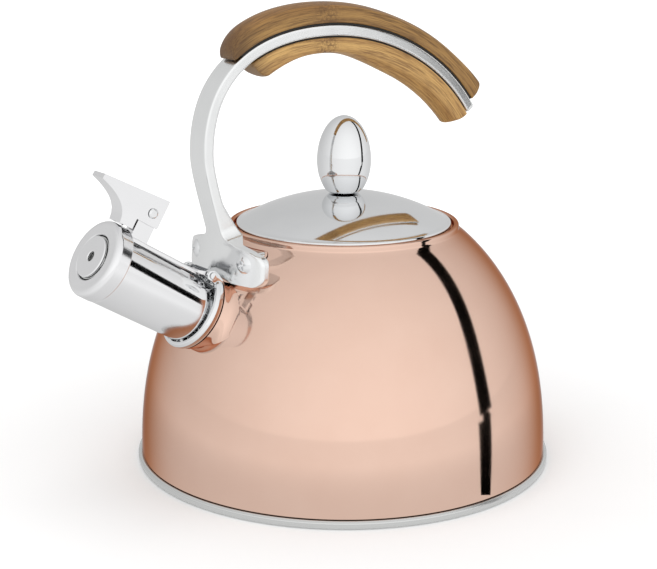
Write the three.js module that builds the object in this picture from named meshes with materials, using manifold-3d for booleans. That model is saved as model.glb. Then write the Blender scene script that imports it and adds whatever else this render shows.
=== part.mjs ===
// Stovetop whistling kettle: copper-finish body, steel lid with an egg knob, bamboo-clad
// cantilever handle and a spring-loaded whistle cover hinged on the spout collar.
// Millimetres, +Z up, origin at the centre of the base's underside, spout towards -X.
import * as THREE from 'three';
import { mergeVertices } from 'three/addons/utils/BufferGeometryUtils.js';
import Module from 'manifold-3d';

const wasm = await Module();
wasm.setup();

// ---------- driving dimensions ----------
const GAP = 0.3;              // air between pieces that rest on or fit round each other
const WALL = 1.0;             // sheet steel
const TURN = 48;              // facets round a large turned piece
const SMALL_TURN = 28;        // facets round a small turned piece

const BASE_RADIUS = 100;      // outside of the steel base ring
const RING_TOP = 3.85;        // seam between base ring and body
const CAP_RADIUS = 87;        // encapsulating cap under the base

const BODY_RADIUS = 98.3;     // dome radius at the seam
const DOME_REACH = 131.7;     // height at which the dome formula would close
const DOME_POWER = 2.33;      // fullness of the dome
const DOME_TOP = 111.5;       // where the dome gives way to the rolled rim

const LID_RADIUS = 51;
const LID_EDGE = 114.5;       // height of the lid's rolled edge
const LID_SPHERE = 99.9;      // radius of the lid's dome
const LID_APEX = 129;
const SKIRT_RADIUS = 46.8;
const SKIRT_BOTTOM = 105;
const KNOB_RADIUS = 12.8;
const KNOB_MIDDLE = 144.3;    // height of the knob's widest turn
const KNOB_TOP = 165.6;
const KNOB_FOOT = 129.3;
const KNOB_BORE = 2.3;

const SPOUT_ANGLE = THREE.MathUtils.degToRad(31.5);   // spout axis above the horizontal
const SPOUT_ROOT = new THREE.Vector3(-83.6, 0, 83.6); // collar's back face, on the axis
const BORE_RADIUS = 13;
const NECK_RADIUS = 18.0;      // neck at the collar
const NECK_FOOT = { side: 25.2, top: 18.6, bottom: 13.6, depth: 9 };   // oval where it meets the dome
const NECK_LENGTH = 20;        // before its foot is trimmed to the dome
const COLLAR_RADIUS = 19.1;
const COLLAR_OFFSET = 1.2;    // collar and neck axis above the tube axis
const COLLAR_LENGTH = 4.1;
const TUBE_START = 4.9;
const TUBE_END = 51.6;
const TUBE_FRONT = 15.7;      // tube radius at the cap
const TUBE_REAR = 15.2;       // tube radius at the collar
const CAP_OFFSET = 1.7;       // cap axis above the tube axis
const COVER_CAP_RADIUS = 17.6;
const CAP_FACE = 60.2;
const PIN_AT = { z: 7.0, x: 17.6 };   // hinge pin, along and above the spout axis
const PIN_RADIUS = 1.0;
const SPRING_HALF = 5.6;       // half the spring's length along the pin
const RIVET_AT = { z: 45.2, x: 29.9 };
const RIVET_RADIUS = 1.3;
const LEVER_WIDTH = 9.4;

const STRAP_WIDTH = 13;
const STRAP_THICK = 5;
const GRIP_WIDTH = 13;
const SCREW_SPREAD = 19.5;    // bracket screws either side of the centre plane
const SCREW_HEIGHT = 107.5;
const FLANGE_RADIUS = 71.2;   // front of the curved flange at its bottom edge
const FLANGE_LEAN = 0.10;     // how far the flange leans out for each mm of height
const FLANGE_THICK = 4.2;
const FLANGE_BOTTOM = 99.4;
const BLOCK_REACH = 60;        // length of the blanks that the flange and the bracket are cut from
const GRIP_SCREWS = [30, -34];  // distance of each grip screw in front of the body axis
const TOP_GRIP = { rear: 0.02, front: 0.642 };    // shares of the strap's length
const LOW_GRIP = { rear: 0.002, front: 0.62 };

// ---------- finishes ----------
function finish(color, roughness, metalness) {
  return new THREE.MeshStandardMaterial({ color, roughness, metalness });
}
const COPPER = finish(0xd9ad93, 0.12, 1);
const CHROME = finish(0xe3e4e6, 0.07, 1);
const SATIN = finish(0xc9cac9, 0.32, 1);
const ALUMINIUM = finish(0xb7b9bb, 0.5, 1);
const BAMBOO = finish(0xb08245, 0.55, 0);
const SPRING_STEEL = finish(0x6f7174, 0.3, 1);

// ---------- solids ----------
function signedVolume(geometry) {
  const p = geometry.attributes.position;
  const index = geometry.index.array;
  const [a, b, c] = [new THREE.Vector3(), new THREE.Vector3(), new THREE.Vector3()];
  let volume = 0;
  for (let i = 0; i < index.length; i += 3) {
    a.fromBufferAttribute(p, index[i]);
    b.fromBufferAttribute(p, index[i + 1]);
    c.fromBufferAttribute(p, index[i + 2]);
    volume += a.dot(b.cross(c)) / 6;
  }
  return volume;
}

// One closed skin with shared corners and its faces pointing out.
function closed(geometry) {
  const bare = geometry.clone();
  bare.deleteAttribute('normal');
  bare.deleteAttribute('uv');
  const merged = mergeVertices(bare, 1e-4);
  const kept = [];
  const index = merged.index.array;
  for (let i = 0; i < index.length; i += 3) {
    const [a, b, c] = [index[i], index[i + 1], index[i + 2]];
    if (a !== b && b !== c && c !== a) kept.push(a, b, c);
  }
  merged.setIndex(kept);
  if (signedVolume(merged) < 0) {
    const turned = [];
    for (let i = 0; i < kept.length; i += 3) turned.push(kept[i], kept[i + 2], kept[i + 1]);
    merged.setIndex(turned);
  }
  return merged;
}

function solid(geometry) {
  const skin = closed(geometry);
  return new wasm.Manifold(new wasm.Mesh({
    numProp: 3,
    vertProperties: new Float32Array(skin.attributes.position.array),
    triVerts: new Uint32Array(skin.index.array),
  }));
}

function fromSolid(manifold) {
  const mesh = manifold.getMesh();
  const geometry = new THREE.BufferGeometry();
  geometry.setAttribute('position', new THREE.BufferAttribute(mesh.vertProperties, 3));
  geometry.setIndex(new THREE.BufferAttribute(mesh.triVerts, 1));
  return geometry;
}

function cut(base, ...tools) {
  return fromSolid(tools.reduce((rest, tool) => rest.subtract(solid(tool)), solid(base)));
}

function joined(...pieces) {
  const [first, ...others] = pieces.map(solid);
  return fromSolid(others.reduce((whole, piece) => whole.add(piece), first));
}

function common(a, b) {
  return fromSolid(solid(a).intersect(solid(b)));
}

// A turned piece about Z, from [radius, height] points.
function revolve(profile, segments = TURN) {
  const points = profile.map(([r, z]) => new THREE.Vector2(r, z));
  return new THREE.LatheGeometry(points, segments).rotateX(Math.PI / 2);
}

function closedRevolve(profile, segments = TURN) {
  return revolve([...profile, profile[0]], segments);
}

function rod(radius, from, to, segments = SMALL_TURN) {
  return revolve([[0, from], [radius, from], [radius, to], [0, to]], segments);
}

// A plate standing in the XZ plane, its outline in [x, z], centred on y.
function plate(outline, width, y = 0, bevel = 0) {
  const shape = outline instanceof THREE.Shape ? outline : polygon(outline);
  const depth = width - 2 * bevel;
  const options = {
    depth, steps: 1, curveSegments: 8, bevelEnabled: bevel > 0, bevelThickness: bevel,
    bevelSize: bevel, bevelOffset: -bevel, bevelSegments: 2,
  };
  return new THREE.ExtrudeGeometry(shape, options)
    .rotateX(Math.PI / 2)
    .translate(0, y + depth / 2, 0);
}

function polygon(points) {
  return new THREE.Shape(points.map(([x, y]) => new THREE.Vector2(x, y)));
}

function alongY(geometry) {
  return geometry.rotateX(Math.PI / 2);
}

function named(name, geometry, material) {
  const mesh = new THREE.Mesh(closed(geometry), material);
  mesh.name = name;
  return mesh;
}

// ---------- body and base ----------
function domeRadius(height) {
  return BODY_RADIUS * Math.sqrt(1 - (height / DOME_REACH) ** DOME_POWER);
}

function domeProfile(inset, from, to, steps) {
  const profile = [];
  for (let i = 0; i <= steps; i += 1) {
    const height = from + (to - from) * (i / steps) ** 0.8;
    const rise = 0.5;
    const slope = (domeRadius(height - rise) - domeRadius(height)) / rise;
    const length = Math.hypot(1, slope);
    profile.push([domeRadius(height) - inset / length, height - inset * slope / length]);
  }
  return profile;
}

function domeBlank(offset) {
  const bottom = RING_TOP + GAP;
  return revolve([[0, bottom], ...domeProfile(-offset, bottom, DOME_TOP, 11), [0, DOME_TOP + offset]]);
}

function bodyShell() {
  const bottom = RING_TOP + GAP;
  const rim = [[54.9, 112.8], [54.5, 114.4], [53.6, 115.4], [52.6, 115.1], [52.1, 114.0]];
  const seat = [[51.9, 113.0], [47.8, 112.8], [47.8, 108.5], [48.8, 108.5], [48.8, 111.6], [51.8, 111.6]];
  const inside = domeProfile(WALL, bottom, DOME_TOP - 1.6, 9).reverse();
  inside[inside.length - 1] = [BODY_RADIUS - WALL, bottom];
  const shell = closedRevolve([...domeProfile(0, bottom, DOME_TOP, 11), ...rim, ...seat, ...inside]);
  return cut(shell, inSpoutFrame(rod(BORE_RADIUS + 1, -25, 5).translate(COLLAR_OFFSET, 0, 0)));
}

function basePan() {
  return revolve([
    [0, 3.2], [CAP_RADIUS + 0.6, 3.2], [CAP_RADIUS + 0.6, 0.4], [BASE_RADIUS - 0.9, 0.4],
    [BASE_RADIUS, 1.2], [BASE_RADIUS, 2.9], [BASE_RADIUS - 0.5, 3.6], [98.7, RING_TOP],
    [96.8, RING_TOP], [96.8, 9], [95.8, 9], [95.8, 4.2], [0, 4.2],
  ]);
}

function baseCore() {
  return rod(CAP_RADIUS - 1, 1.5, 2.9, TURN);
}

function baseCap() {
  return revolve([[0, 0], [CAP_RADIUS - 1, 0], [CAP_RADIUS, 0.5], [CAP_RADIUS, 1.2], [0, 1.2]]);
}

// ---------- spout frame: local +Z along the spout, local +X up from its axis ----------
function spoutGroup() {
  const group = new THREE.Group();
  group.position.copy(SPOUT_ROOT);
  group.rotation.y = SPOUT_ANGLE - Math.PI / 2;
  return group;
}

function inSpoutFrame(geometry) {
  const frame = spoutGroup();
  frame.updateMatrixWorld(true);
  return geometry.applyMatrix4(frame.matrixWorld);
}

function fromBodyFrame(geometry) {
  const frame = spoutGroup();
  frame.updateMatrixWorld(true);
  return geometry.applyMatrix4(frame.matrixWorld.clone().invert());
}

// Spout pieces are drawn as [along, up] and stand in the local XZ plane.
function spoutPlate(outline, width, y = 0, bevel = 0) {
  return plate(outline.map(([along, up]) => [up, along]), width, y, bevel);
}

function crossRod(radius, length, at, y = 0) {
  return alongY(rod(radius, -length / 2, length / 2, 16)).translate(at.x, y, at.z);
}

// A round tube that widens sideways and rises underneath as it runs down to its oval foot.
function ovalNeck() {
  const blank = new THREE.CylinderGeometry(1, 1, NECK_LENGTH, 44, 6).rotateX(Math.PI / 2);
  const points = blank.attributes.position;
  for (let i = 0; i < points.count; i += 1) {
    const along = points.getZ(i) - NECK_LENGTH / 2 - GAP;
    const share = Math.min(-along / NECK_FOOT.depth, 1.3);
    const up = points.getX(i) > 0 ? NECK_FOOT.top : NECK_FOOT.bottom;
    const tall = NECK_RADIUS + (up - NECK_RADIUS) * share;
    const wide = NECK_RADIUS + (NECK_FOOT.side - NECK_RADIUS) * share;
    points.setXYZ(i, points.getX(i) * tall, points.getY(i) * wide, along);
  }
  return blank;
}

function spoutNeck() {
  const bore = rod(BORE_RADIUS + 1, -NECK_LENGTH - 5, 5);
  const neck = cut(ovalNeck(), bore);
  return cut(neck.translate(COLLAR_OFFSET, 0, 0), fromBodyFrame(domeBlank(GAP)));
}

function spoutCollar() {
  const ring = closedRevolve([
    [BORE_RADIUS, 0], [18.0, 0], [COLLAR_RADIUS - 0.3, 0.8], [COLLAR_RADIUS, 2.0],
    [COLLAR_RADIUS - 0.4, 3.3], [17.6, COLLAR_LENGTH], [BORE_RADIUS, COLLAR_LENGTH],
  ], 40).translate(COLLAR_OFFSET, 0, 0);
  const ear = [
    [0.6, 13], [3.8, 13], [4.1, 14.6], [6.4, 15.0], [8.6, 15.4], [9.6, 17.0], [9.4, 18.8],
    [8.2, 20.0], [6.4, 20.2], [4.2, 19.4], [0.6, 17.6],
  ];
  const ears = [-10, 10].map((y) => spoutPlate(ear, 1.6, y));
  return cut(joined(ring, ...ears), crossRod(PIN_RADIUS + GAP, 26, PIN_AT));
}

function hingePin() {
  const ends = [-11.5, 11.5].map((y) => crossRod(PIN_RADIUS + 0.7, 0.9, PIN_AT, y));
  return joined(crossRod(PIN_RADIUS, 23, PIN_AT), ...ends);
}

// Torsion spring: wire wound round the pin, with one leg back to the collar.
class Winding extends THREE.Curve {
  getPoint(t, target = new THREE.Vector3()) {
    const turns = 5;
    const radius = 1.78;
    const angle = t * turns * 2 * Math.PI;
    const across = SPRING_HALF * (2 * t - 1);
    return target.set(PIN_AT.x + radius * Math.cos(angle), across, PIN_AT.z + radius * Math.sin(angle));
  }
}

function hingeSpring() {
  const wire = new THREE.Shape().absarc(0, 0, 0.36, 0, 2 * Math.PI);
  return new THREE.ExtrudeGeometry(wire, {
    steps: 50, curveSegments: 2, bevelEnabled: false, extrudePath: new Winding(),
  });
}

// ---------- whistle cover ----------
function coverTube() {
  return closedRevolve([
    [TUBE_REAR - 0.9, TUBE_START], [TUBE_REAR, TUBE_START], [TUBE_FRONT, TUBE_END],
    [TUBE_FRONT - 0.9, TUBE_END],
  ], 40);
}

function coverCap() {
  const back = TUBE_END + GAP;
  const cup = closedRevolve([
    [12.4, back], [COVER_CAP_RADIUS, back], [COVER_CAP_RADIUS, 58.2], [17.1, 59.5],
    [15.7, CAP_FACE], [11.0, CAP_FACE], [10.4, CAP_FACE - 0.5], [10.4, CAP_FACE - 3.6],
    [11.2, CAP_FACE - 3.6], [11.6, CAP_FACE - 1], [15.4, CAP_FACE - 1], [16.6, 58],
    [16.6, back + 1], [12.4, back + 1],
  ], 40);
  return cup.translate(CAP_OFFSET, 0, 0);
}

function whistleFront() {
  const disc = closedRevolve([
    [2.2, CAP_FACE - 0.4], [9.2, CAP_FACE - 0.4], [9.7, CAP_FACE + 0.2], [9.4, CAP_FACE + 0.8],
    [2.6, CAP_FACE + 0.8], [2.2, CAP_FACE + 0.5],
  ]);
  return disc.translate(CAP_OFFSET, 0, 0);
}

function whistleBack() {
  const front = CAP_FACE - 0.4 - GAP;
  const cup = closedRevolve([
    [2.2, front - 3.4], [9.9, front - 3.4], [9.9, front], [9.1, front], [9.1, front - 2.6],
    [2.2, front - 2.6],
  ]);
  return cup.translate(CAP_OFFSET, 0, 0);
}

function hingeArm() {
  const strip = common(
    closedRevolve([[TUBE_FRONT + GAP, 10], [TUBE_FRONT + 1.6, 10], [TUBE_FRONT + 1.6, 50.8],
      [TUBE_FRONT + GAP, 50.8]], 40),
    spoutPlate([[9, 10], [51, 10], [51, 20], [9, 20]], 9.6),
  );
  const fork = [-7.6, 7.6].map((y) => joined(
    crossRod(2.0, 2.2, PIN_AT, y),
    spoutPlate([[7, 16.6], [14, 15.9], [14, 17.1], [7, 19.0]], 2.2, y),
  ));
  const bridge = spoutPlate([[11.2, 16.0], [14, 16.0], [14, 17.2], [11.2, 17.5]], 17.4);
  const upright = spoutPlate([[40.4, 16.2], [49.4, 16.2], [49.4, 33], [40.4, 33]], 6.2);
  const tubeRoom = rod(TUBE_FRONT + 0.2, 0, 55, 40);
  return cut(
    joined(strip, bridge, upright, ...fork),
    tubeRoom, crossRod(PIN_RADIUS + 0.25, 30, PIN_AT), crossRod(RIVET_RADIUS + GAP, 12, RIVET_AT),
  );
}

function leverOutline() {
  const shape = new THREE.Shape();
  const corner = (along, up) => [up, along];
  shape.moveTo(...corner(39.8, 24.6));
  shape.lineTo(...corner(51.2, 24.6));
  shape.lineTo(...corner(51.2, 19.9));
  shape.lineTo(...corner(58.2, 19.9));
  shape.bezierCurveTo(...corner(58.4, 27.5), ...corner(65.5, 30.6), ...corner(74.9, 33.0));
  shape.lineTo(...corner(74.7, 35.2));
  shape.lineTo(...corner(39.8, 38.0));
  return shape;
}

// Bent from sheet: a top, a curved front and two cheeks, open behind and below.
function lever() {
  const inside = [
    [38.6, 18], [57, 18], [58.1, 25.6], [61.6, 29.7], [68.4, 32.4], [68.8, 34.3], [38.6, 36.8],
  ];
  const hollow = spoutPlate(inside, LEVER_WIDTH - 2.4);
  return cut(plate(leverOutline(), LEVER_WIDTH), hollow, crossRod(RIVET_RADIUS + GAP, 12, RIVET_AT));
}

function leverRivet() {
  const heads = [-1, 1].map((side) => crossRod(2.4, 0.7, RIVET_AT, side * (LEVER_WIDTH / 2 + GAP + 0.35)));
  return joined(crossRod(RIVET_RADIUS, LEVER_WIDTH + 1, RIVET_AT), ...heads);
}

// ---------- handle ----------
// The strap's outer edge, seen from the side, as [distance in front of the axis, height].
function strapEdge() {
  const at = (front, height) => new THREE.Vector2(-front, height);
  const path = new THREE.CurvePath();
  path.add(new THREE.CubicBezierCurve(at(-76, 163.5), at(-57.6, 191), at(-22.2, 208.4), at(14, 208.4)));
  path.add(new THREE.CubicBezierCurve(at(14, 208.4), at(58.3, 208.4), at(81, 188.6), at(81, 154.6)));
  path.add(new THREE.CubicBezierCurve(at(81, 154.6), at(81, 144.2), at(74, 126), at(71.6, 112)));
  return path;
}

// A band beside the strap edge: offsets are measured outwards from that edge.
function band(from, to, steps, inner, outer) {
  const path = strapEdge();
  const side = (offset) => {
    const points = [];
    for (let i = 0; i <= steps; i += 1) {
      const share = i / steps;
      const u = from + (to - from) * share;
      const point = path.getPointAt(u);
      const tangent = path.getTangentAt(u);
      const normal = new THREE.Vector2(tangent.y, -tangent.x);
      points.push(point.addScaledVector(normal, offset(share)));
    }
    return points;
  };
  return new THREE.Shape([...side(outer), ...side(inner).reverse()]);
}

function smooth(x) {
  const t = Math.min(Math.max(x, 0), 1);
  return t * t * (3 - 2 * t);
}

// An outline in (across, height) pushed out from the body's axis towards the spout.
function towardsFront(outline) {
  const options = { depth: BLOCK_REACH, steps: 1, curveSegments: 6, bevelEnabled: false };
  return new THREE.ExtrudeGeometry(outline, options)
    .rotateX(Math.PI / 2)
    .rotateZ(-Math.PI / 2)
    .translate(-BLOCK_REACH / 2, 0, 0);
}

function flange() {
  const outline = new THREE.Shape();
  outline.moveTo(0, FLANGE_BOTTOM);
  outline.lineTo(-19.5, FLANGE_BOTTOM);
  outline.absarc(-19.5, 106, 7.2, 1.5 * Math.PI, 0.5 * Math.PI + 0.35, true);
  outline.lineTo(-9.5, 115.4);
  outline.quadraticCurveTo(-6.5, 117, -6.5, 122);
  outline.lineTo(6.5, 122);
  outline.quadraticCurveTo(6.5, 117, 9.5, 115.4);
  outline.absarc(19.5, 106, 7.2, 0.5 * Math.PI - 0.35, -0.5 * Math.PI, true);
  outline.lineTo(0, FLANGE_BOTTOM);
  const block = towardsFront(outline);
  const front = (height) => FLANGE_RADIUS + FLANGE_LEAN * (height - FLANGE_BOTTOM);
  const shell = closedRevolve([
    [front(96) - FLANGE_THICK, 96], [front(96), 96], [front(124), 124], [front(124) - FLANGE_THICK, 124],
  ], 72);
  return common(block, shell);
}

function handleStrap() {
  const bow = plate(band(0, 0.955, 34, () => -STRAP_THICK, () => 0), STRAP_WIDTH, 0, 0.6);
  const inner = (share) => -STRAP_THICK - 4 * smooth(share);
  const foot = plate(band(0.9, 0.99, 8, inner, () => -0.05), STRAP_WIDTH - 0.4);
  const face = FLANGE_RADIUS + FLANGE_LEAN * (SCREW_HEIGHT - FLANGE_BOTTOM);
  const screws = [-1, 1].map((side) => bracketHole(side, 2.1));
  const spotFaces = [-1, 1].map((side) => bracketHole(side, 4.9, face, face + 6));
  const gripHoles = GRIP_SCREWS.map((front) => gripScrewHole(front, 2.1));
  return cut(joined(bow, foot, flange()), domeBlank(GAP), ...screws, ...spotFaces, ...gripHoles);
}

// A rod along the bracket screw's axis, which points at the body's axis.
function bracketHole(side, radius, from = 40, to = 90) {
  const angle = Math.asin(SCREW_SPREAD / FLANGE_RADIUS);
  return rod(radius, from, to, 20)
    .rotateY(-Math.PI / 2)
    .rotateZ(side * angle)
    .translate(0, 0, SCREW_HEIGHT);
}

// The bracket narrows towards the body's axis, so that the ears hide it from the side.
function bracketSector() {
  const angle = Math.asin((SCREW_SPREAD + 3.2) / FLANGE_RADIUS);
  const wedge = new THREE.Shape();
  wedge.moveTo(0, 0);
  wedge.lineTo(-80, -80 * Math.tan(angle));
  wedge.lineTo(-80, 80 * Math.tan(angle));
  wedge.lineTo(0, 0);
  return new THREE.ExtrudeGeometry(wedge, { depth: 20, bevelEnabled: false }).translate(0, 0, 96);
}

function handleBracket() {
  const outline = new THREE.Shape();
  outline.moveTo(0, 101.5);
  outline.lineTo(-18.2, 101.5);
  outline.absarc(-18.2, 106.7, 5.2, 1.5 * Math.PI, 0.5 * Math.PI, true);
  outline.lineTo(18.2, 111.9);
  outline.absarc(18.2, 106.7, 5.2, 0.5 * Math.PI, -0.5 * Math.PI, true);
  outline.lineTo(0, 101.5);
  const block = common(towardsFront(outline), bracketSector());
  const back = (height) => FLANGE_RADIUS + FLANGE_LEAN * (height - FLANGE_BOTTOM) - FLANGE_THICK - GAP;
  const shell = closedRevolve([[56, 98], [back(98), 98], [back(114), 114], [56, 114]], 72);
  const holes = [-1, 1].map((side) => bracketHole(side, 2.1));
  return cut(common(block, shell), domeBlank(GAP), ...holes);
}

function bracketScrew(side) {
  const face = FLANGE_RADIUS + FLANGE_LEAN * (SCREW_HEIGHT - FLANGE_BOTTOM);
  const screw = joined(
    bracketHole(side, 1.8, 62.5, face + 1),
    revolveAlong(side, [
      [0, face + GAP], [4.4, face + GAP], [4.2, face + 1.3], [2.9, face + 2.4], [0, face + 2.8],
    ]),
  );
  const slots = [0, Math.PI / 2].map((turn) => crossRecess(side, face + 1.6, turn));
  return cut(screw, ...slots);
}

function revolveAlong(side, profile) {
  const angle = Math.asin(SCREW_SPREAD / FLANGE_RADIUS);
  return revolve(profile, 20)
    .rotateY(-Math.PI / 2)
    .rotateZ(side * angle)
    .translate(0, 0, SCREW_HEIGHT);
}

function crossRecess(side, from, turn) {
  const angle = Math.asin(SCREW_SPREAD / FLANGE_RADIUS);
  return new THREE.BoxGeometry(4.2, 0.9, 4)
    .rotateZ(turn)
    .translate(0, 0, from + 2)
    .rotateY(-Math.PI / 2)
    .rotateZ(side * angle)
    .translate(0, 0, SCREW_HEIGHT);
}

function topGripThickness(share) {
  const rear = Math.sqrt(smooth(share / 0.06 + 0.2));
  const front = Math.sqrt(smooth((1 - share) / 0.24));
  const swell = 1.9 * smooth((share - 0.3) / 0.4) + 1.2 * (1 - smooth(share / 0.1));
  return 2.2 + (5.4 + swell) * rear * front;
}

function lowGripThickness(share) {
  const rear = Math.sqrt(smooth(share / 0.07 + 0.1));
  const front = Math.sqrt(smooth((1 - share) / 0.1));
  return 2.2 + (4.9 + 5.2 * (1 - smooth((share - 0.25) / 0.3))) * rear * front;
}

function gripTop() {
  const outline = band(TOP_GRIP.rear, TOP_GRIP.front, 30, () => GAP, (s) => GAP + topGripThickness(s));
  const holes = GRIP_SCREWS.map((front) => gripScrewHole(front, 1.8, -20, 5.5));
  return cut(plate(outline, GRIP_WIDTH, 0, 0.8), ...holes);
}

function gripBottom() {
  const low = -STRAP_THICK - GAP;
  const outline = band(LOW_GRIP.rear, LOW_GRIP.front, 30, (s) => low - lowGripThickness(s), () => low);
  const holes = GRIP_SCREWS.map((front) => gripScrewHole(front, 2.1));
  const heads = GRIP_SCREWS.map((front) => gripScrewHole(front, 4.0, -30, -10.5));
  return cut(plate(outline, GRIP_WIDTH, 0, 0.8), ...holes, ...heads);
}

// A rod across the handle, at right angles to the strap, measured from its outer edge.
function gripScrewHole(front, radius, from = -30, to = 30) {
  return rod(radius, from, to, 16).applyMatrix4(gripScrewPlace(front));
}

function gripScrewPlace(front) {
  const path = strapEdge();
  let u = 0;
  while (-path.getPointAt(u).x < front) u += 0.001;
  const point = path.getPointAt(u);
  const tangent = path.getTangentAt(u);
  const up = new THREE.Vector3(tangent.y, 0, -tangent.x);
  const turn = new THREE.Quaternion().setFromUnitVectors(new THREE.Vector3(0, 0, 1), up);
  const place = new THREE.Vector3(point.x, 0, point.y);
  return new THREE.Matrix4().compose(place, turn, new THREE.Vector3(1, 1, 1));
}

function gripScrew(front) {
  const shaft = rod(1.5, -10.9, 5, 16);
  const head = rod(3.6, -12.4, -10.8, 16);
  return joined(shaft, head).applyMatrix4(gripScrewPlace(front));
}

// ---------- lid ----------
function lidHeight(radius, inset) {
  return LID_APEX - LID_SPHERE + Math.sqrt((LID_SPHERE - inset) ** 2 - radius ** 2);
}

function lidCover() {
  const radii = [KNOB_BORE, 12, 22, 32, 41, 48.6];
  const top = radii.map((r) => [r, lidHeight(r, 0)]);
  const under = radii.map((r) => [r, lidHeight(r, WALL)]).reverse();
  const edge = [
    [50.4, LID_EDGE + 0.9], [LID_RADIUS, LID_EDGE], [50.5, LID_EDGE - 0.9], [49.4, LID_EDGE - 1.0],
  ];
  return closedRevolve([...top, ...edge, ...under]);
}

function lidSkirt() {
  return closedRevolve([
    [SKIRT_RADIUS - 1, SKIRT_BOTTOM], [SKIRT_RADIUS, SKIRT_BOTTOM],
    [SKIRT_RADIUS, 115.7], [SKIRT_RADIUS - 1, 116.0],
  ]);
}

function lidKnob() {
  const profile = [
    [KNOB_BORE, KNOB_FOOT + 14], [KNOB_BORE, KNOB_FOOT], [6.4, KNOB_FOOT], [7.4, KNOB_FOOT + 0.7],
  ];
  const halfBelow = 19.0;
  const halfAbove = KNOB_TOP - KNOB_MIDDLE;
  for (let i = 0; i <= 14; i += 1) {
    const angle = THREE.MathUtils.lerp(-0.82, Math.PI / 2, i / 14);
    const half = angle < 0 ? halfBelow : halfAbove;
    profile.push([KNOB_RADIUS * Math.cos(angle), KNOB_MIDDLE + half * Math.sin(angle)]);
  }
  profile[profile.length - 1][0] = 0;
  return revolve([[0, KNOB_FOOT + 14], ...profile], 32);
}

function knobScrew() {
  return revolve([
    [0, 122.6], [4.2, 122.6], [4.6, 123.4], [4.6, 124.6], [2.0, 124.9], [2.0, KNOB_FOOT + 12], [0, KNOB_FOOT + 12],
  ], SMALL_TURN);
}

function knobWasher() {
  return closedRevolve([[KNOB_BORE, 125.0], [7, 125.0], [7, 126.6], [KNOB_BORE, 126.6]], SMALL_TURN);
}

// ---------- assembly ----------
const kettle = new THREE.Group();
kettle.add(
  named('base_cap', baseCap(), SATIN),
  named('base_core', baseCore(), ALUMINIUM),
  named('base_pan', basePan(), SATIN),
  named('body_shell', bodyShell(), COPPER),
  named('handle_bracket', handleBracket(), CHROME),
  named('handle_strap', handleStrap(), CHROME),
  named('bracket_screw_far', bracketScrew(-1), CHROME),
  named('bracket_screw_near', bracketScrew(1), CHROME),
  named('grip_top', gripTop(), BAMBOO),
  named('grip_bottom', gripBottom(), BAMBOO),
  named('grip_screw_front', gripScrew(GRIP_SCREWS[0]), CHROME),
  named('grip_screw_rear', gripScrew(GRIP_SCREWS[1]), CHROME),
  named('lid_cover', lidCover(), CHROME),
  named('lid_skirt', lidSkirt(), SATIN),
  named('lid_knob', lidKnob(), CHROME),
  named('knob_screw', knobScrew(), CHROME),
  named('knob_washer', knobWasher(), SATIN),
);

const spout = spoutGroup();
spout.add(
  named('spout_neck', spoutNeck(), COPPER),
  named('spout_collar', spoutCollar(), CHROME),
  named('hinge_pin', hingePin(), CHROME),
  named('hinge_spring', hingeSpring(), SPRING_STEEL),
  named('cover_tube', coverTube(), CHROME),
  named('cover_cap', coverCap(), CHROME),
  named('whistle_front', whistleFront(), CHROME),
  named('whistle_back', whistleBack(), SATIN),
  named('hinge_arm', hingeArm(), CHROME),
  named('lever', lever(), CHROME),
  named('lever_rivet', leverRivet(), CHROME),
);
kettle.add(spout);

export default kettle;
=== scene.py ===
# %% [markdown]
# # A stovetop whistling kettle
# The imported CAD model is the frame: it says where every piece sits and how the lid and the
# whistle cover move. This lesson gives each piece a fine surface and a real finish.

# %% The frame
import math

import bmesh
import bpy
import numpy as np
from mathutils import Matrix, Vector


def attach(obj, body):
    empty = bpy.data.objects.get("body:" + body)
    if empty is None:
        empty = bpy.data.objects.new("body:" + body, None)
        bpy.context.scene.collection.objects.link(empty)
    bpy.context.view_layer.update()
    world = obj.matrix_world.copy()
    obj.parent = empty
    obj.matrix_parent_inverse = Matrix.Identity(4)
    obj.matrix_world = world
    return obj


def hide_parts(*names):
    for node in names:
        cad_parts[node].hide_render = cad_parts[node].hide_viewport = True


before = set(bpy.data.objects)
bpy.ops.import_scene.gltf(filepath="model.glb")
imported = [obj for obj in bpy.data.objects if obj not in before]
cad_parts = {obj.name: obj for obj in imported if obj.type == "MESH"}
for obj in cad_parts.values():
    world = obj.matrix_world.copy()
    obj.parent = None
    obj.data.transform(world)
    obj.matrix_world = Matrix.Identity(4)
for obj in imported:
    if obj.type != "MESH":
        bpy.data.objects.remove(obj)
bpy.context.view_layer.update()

MM = 0.001

# %% [markdown]
# ## Helpers for surfaces
# A skin is a grid of points with two parameters. Turned work carries a profile round an axis, and
# sheet work carries a section along a path. Every corner is an arc, because a polished edge is
# never perfectly sharp, and the thin bright line along it is what makes metal look real.


# %% Skins
def skin(points, wrap_u=False, wrap_v=False, caps=False):
    """A grid of points (rows u, columns v) and the four-sided faces between neighbours.
    A wrapped direction joins its last line to its first; caps closes the two end rings."""
    rows, columns = points.shape[:2]
    number = np.arange(rows * columns).reshape(rows, columns)
    if wrap_u:
        number = np.vstack([number, number[:1]])
    if wrap_v:
        number = np.hstack([number, number[:, :1]])
    corners = [number[:-1, :-1], number[1:, :-1], number[1:, 1:], number[:-1, 1:]]
    faces = np.stack(corners, -1).reshape(-1, 4).tolist()
    if caps:
        faces += [number[0, :columns].tolist(), number[-1, :columns][::-1].tolist()]
    return points.reshape(-1, 3), faces


def joined(name, skins):
    """One mesh from several skins, the faces of each renumbered to follow those before it."""
    starts = np.cumsum([0] + [len(points) for points, _ in skins[:-1]])
    corners = np.vstack([points for points, _ in skins])
    faces = [[i + start for i in face] for start, (_, part) in zip(starts, skins) for face in part]
    mesh = bpy.data.meshes.new(name)
    mesh.from_pydata(corners.tolist(), [], faces)
    return mesh


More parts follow.
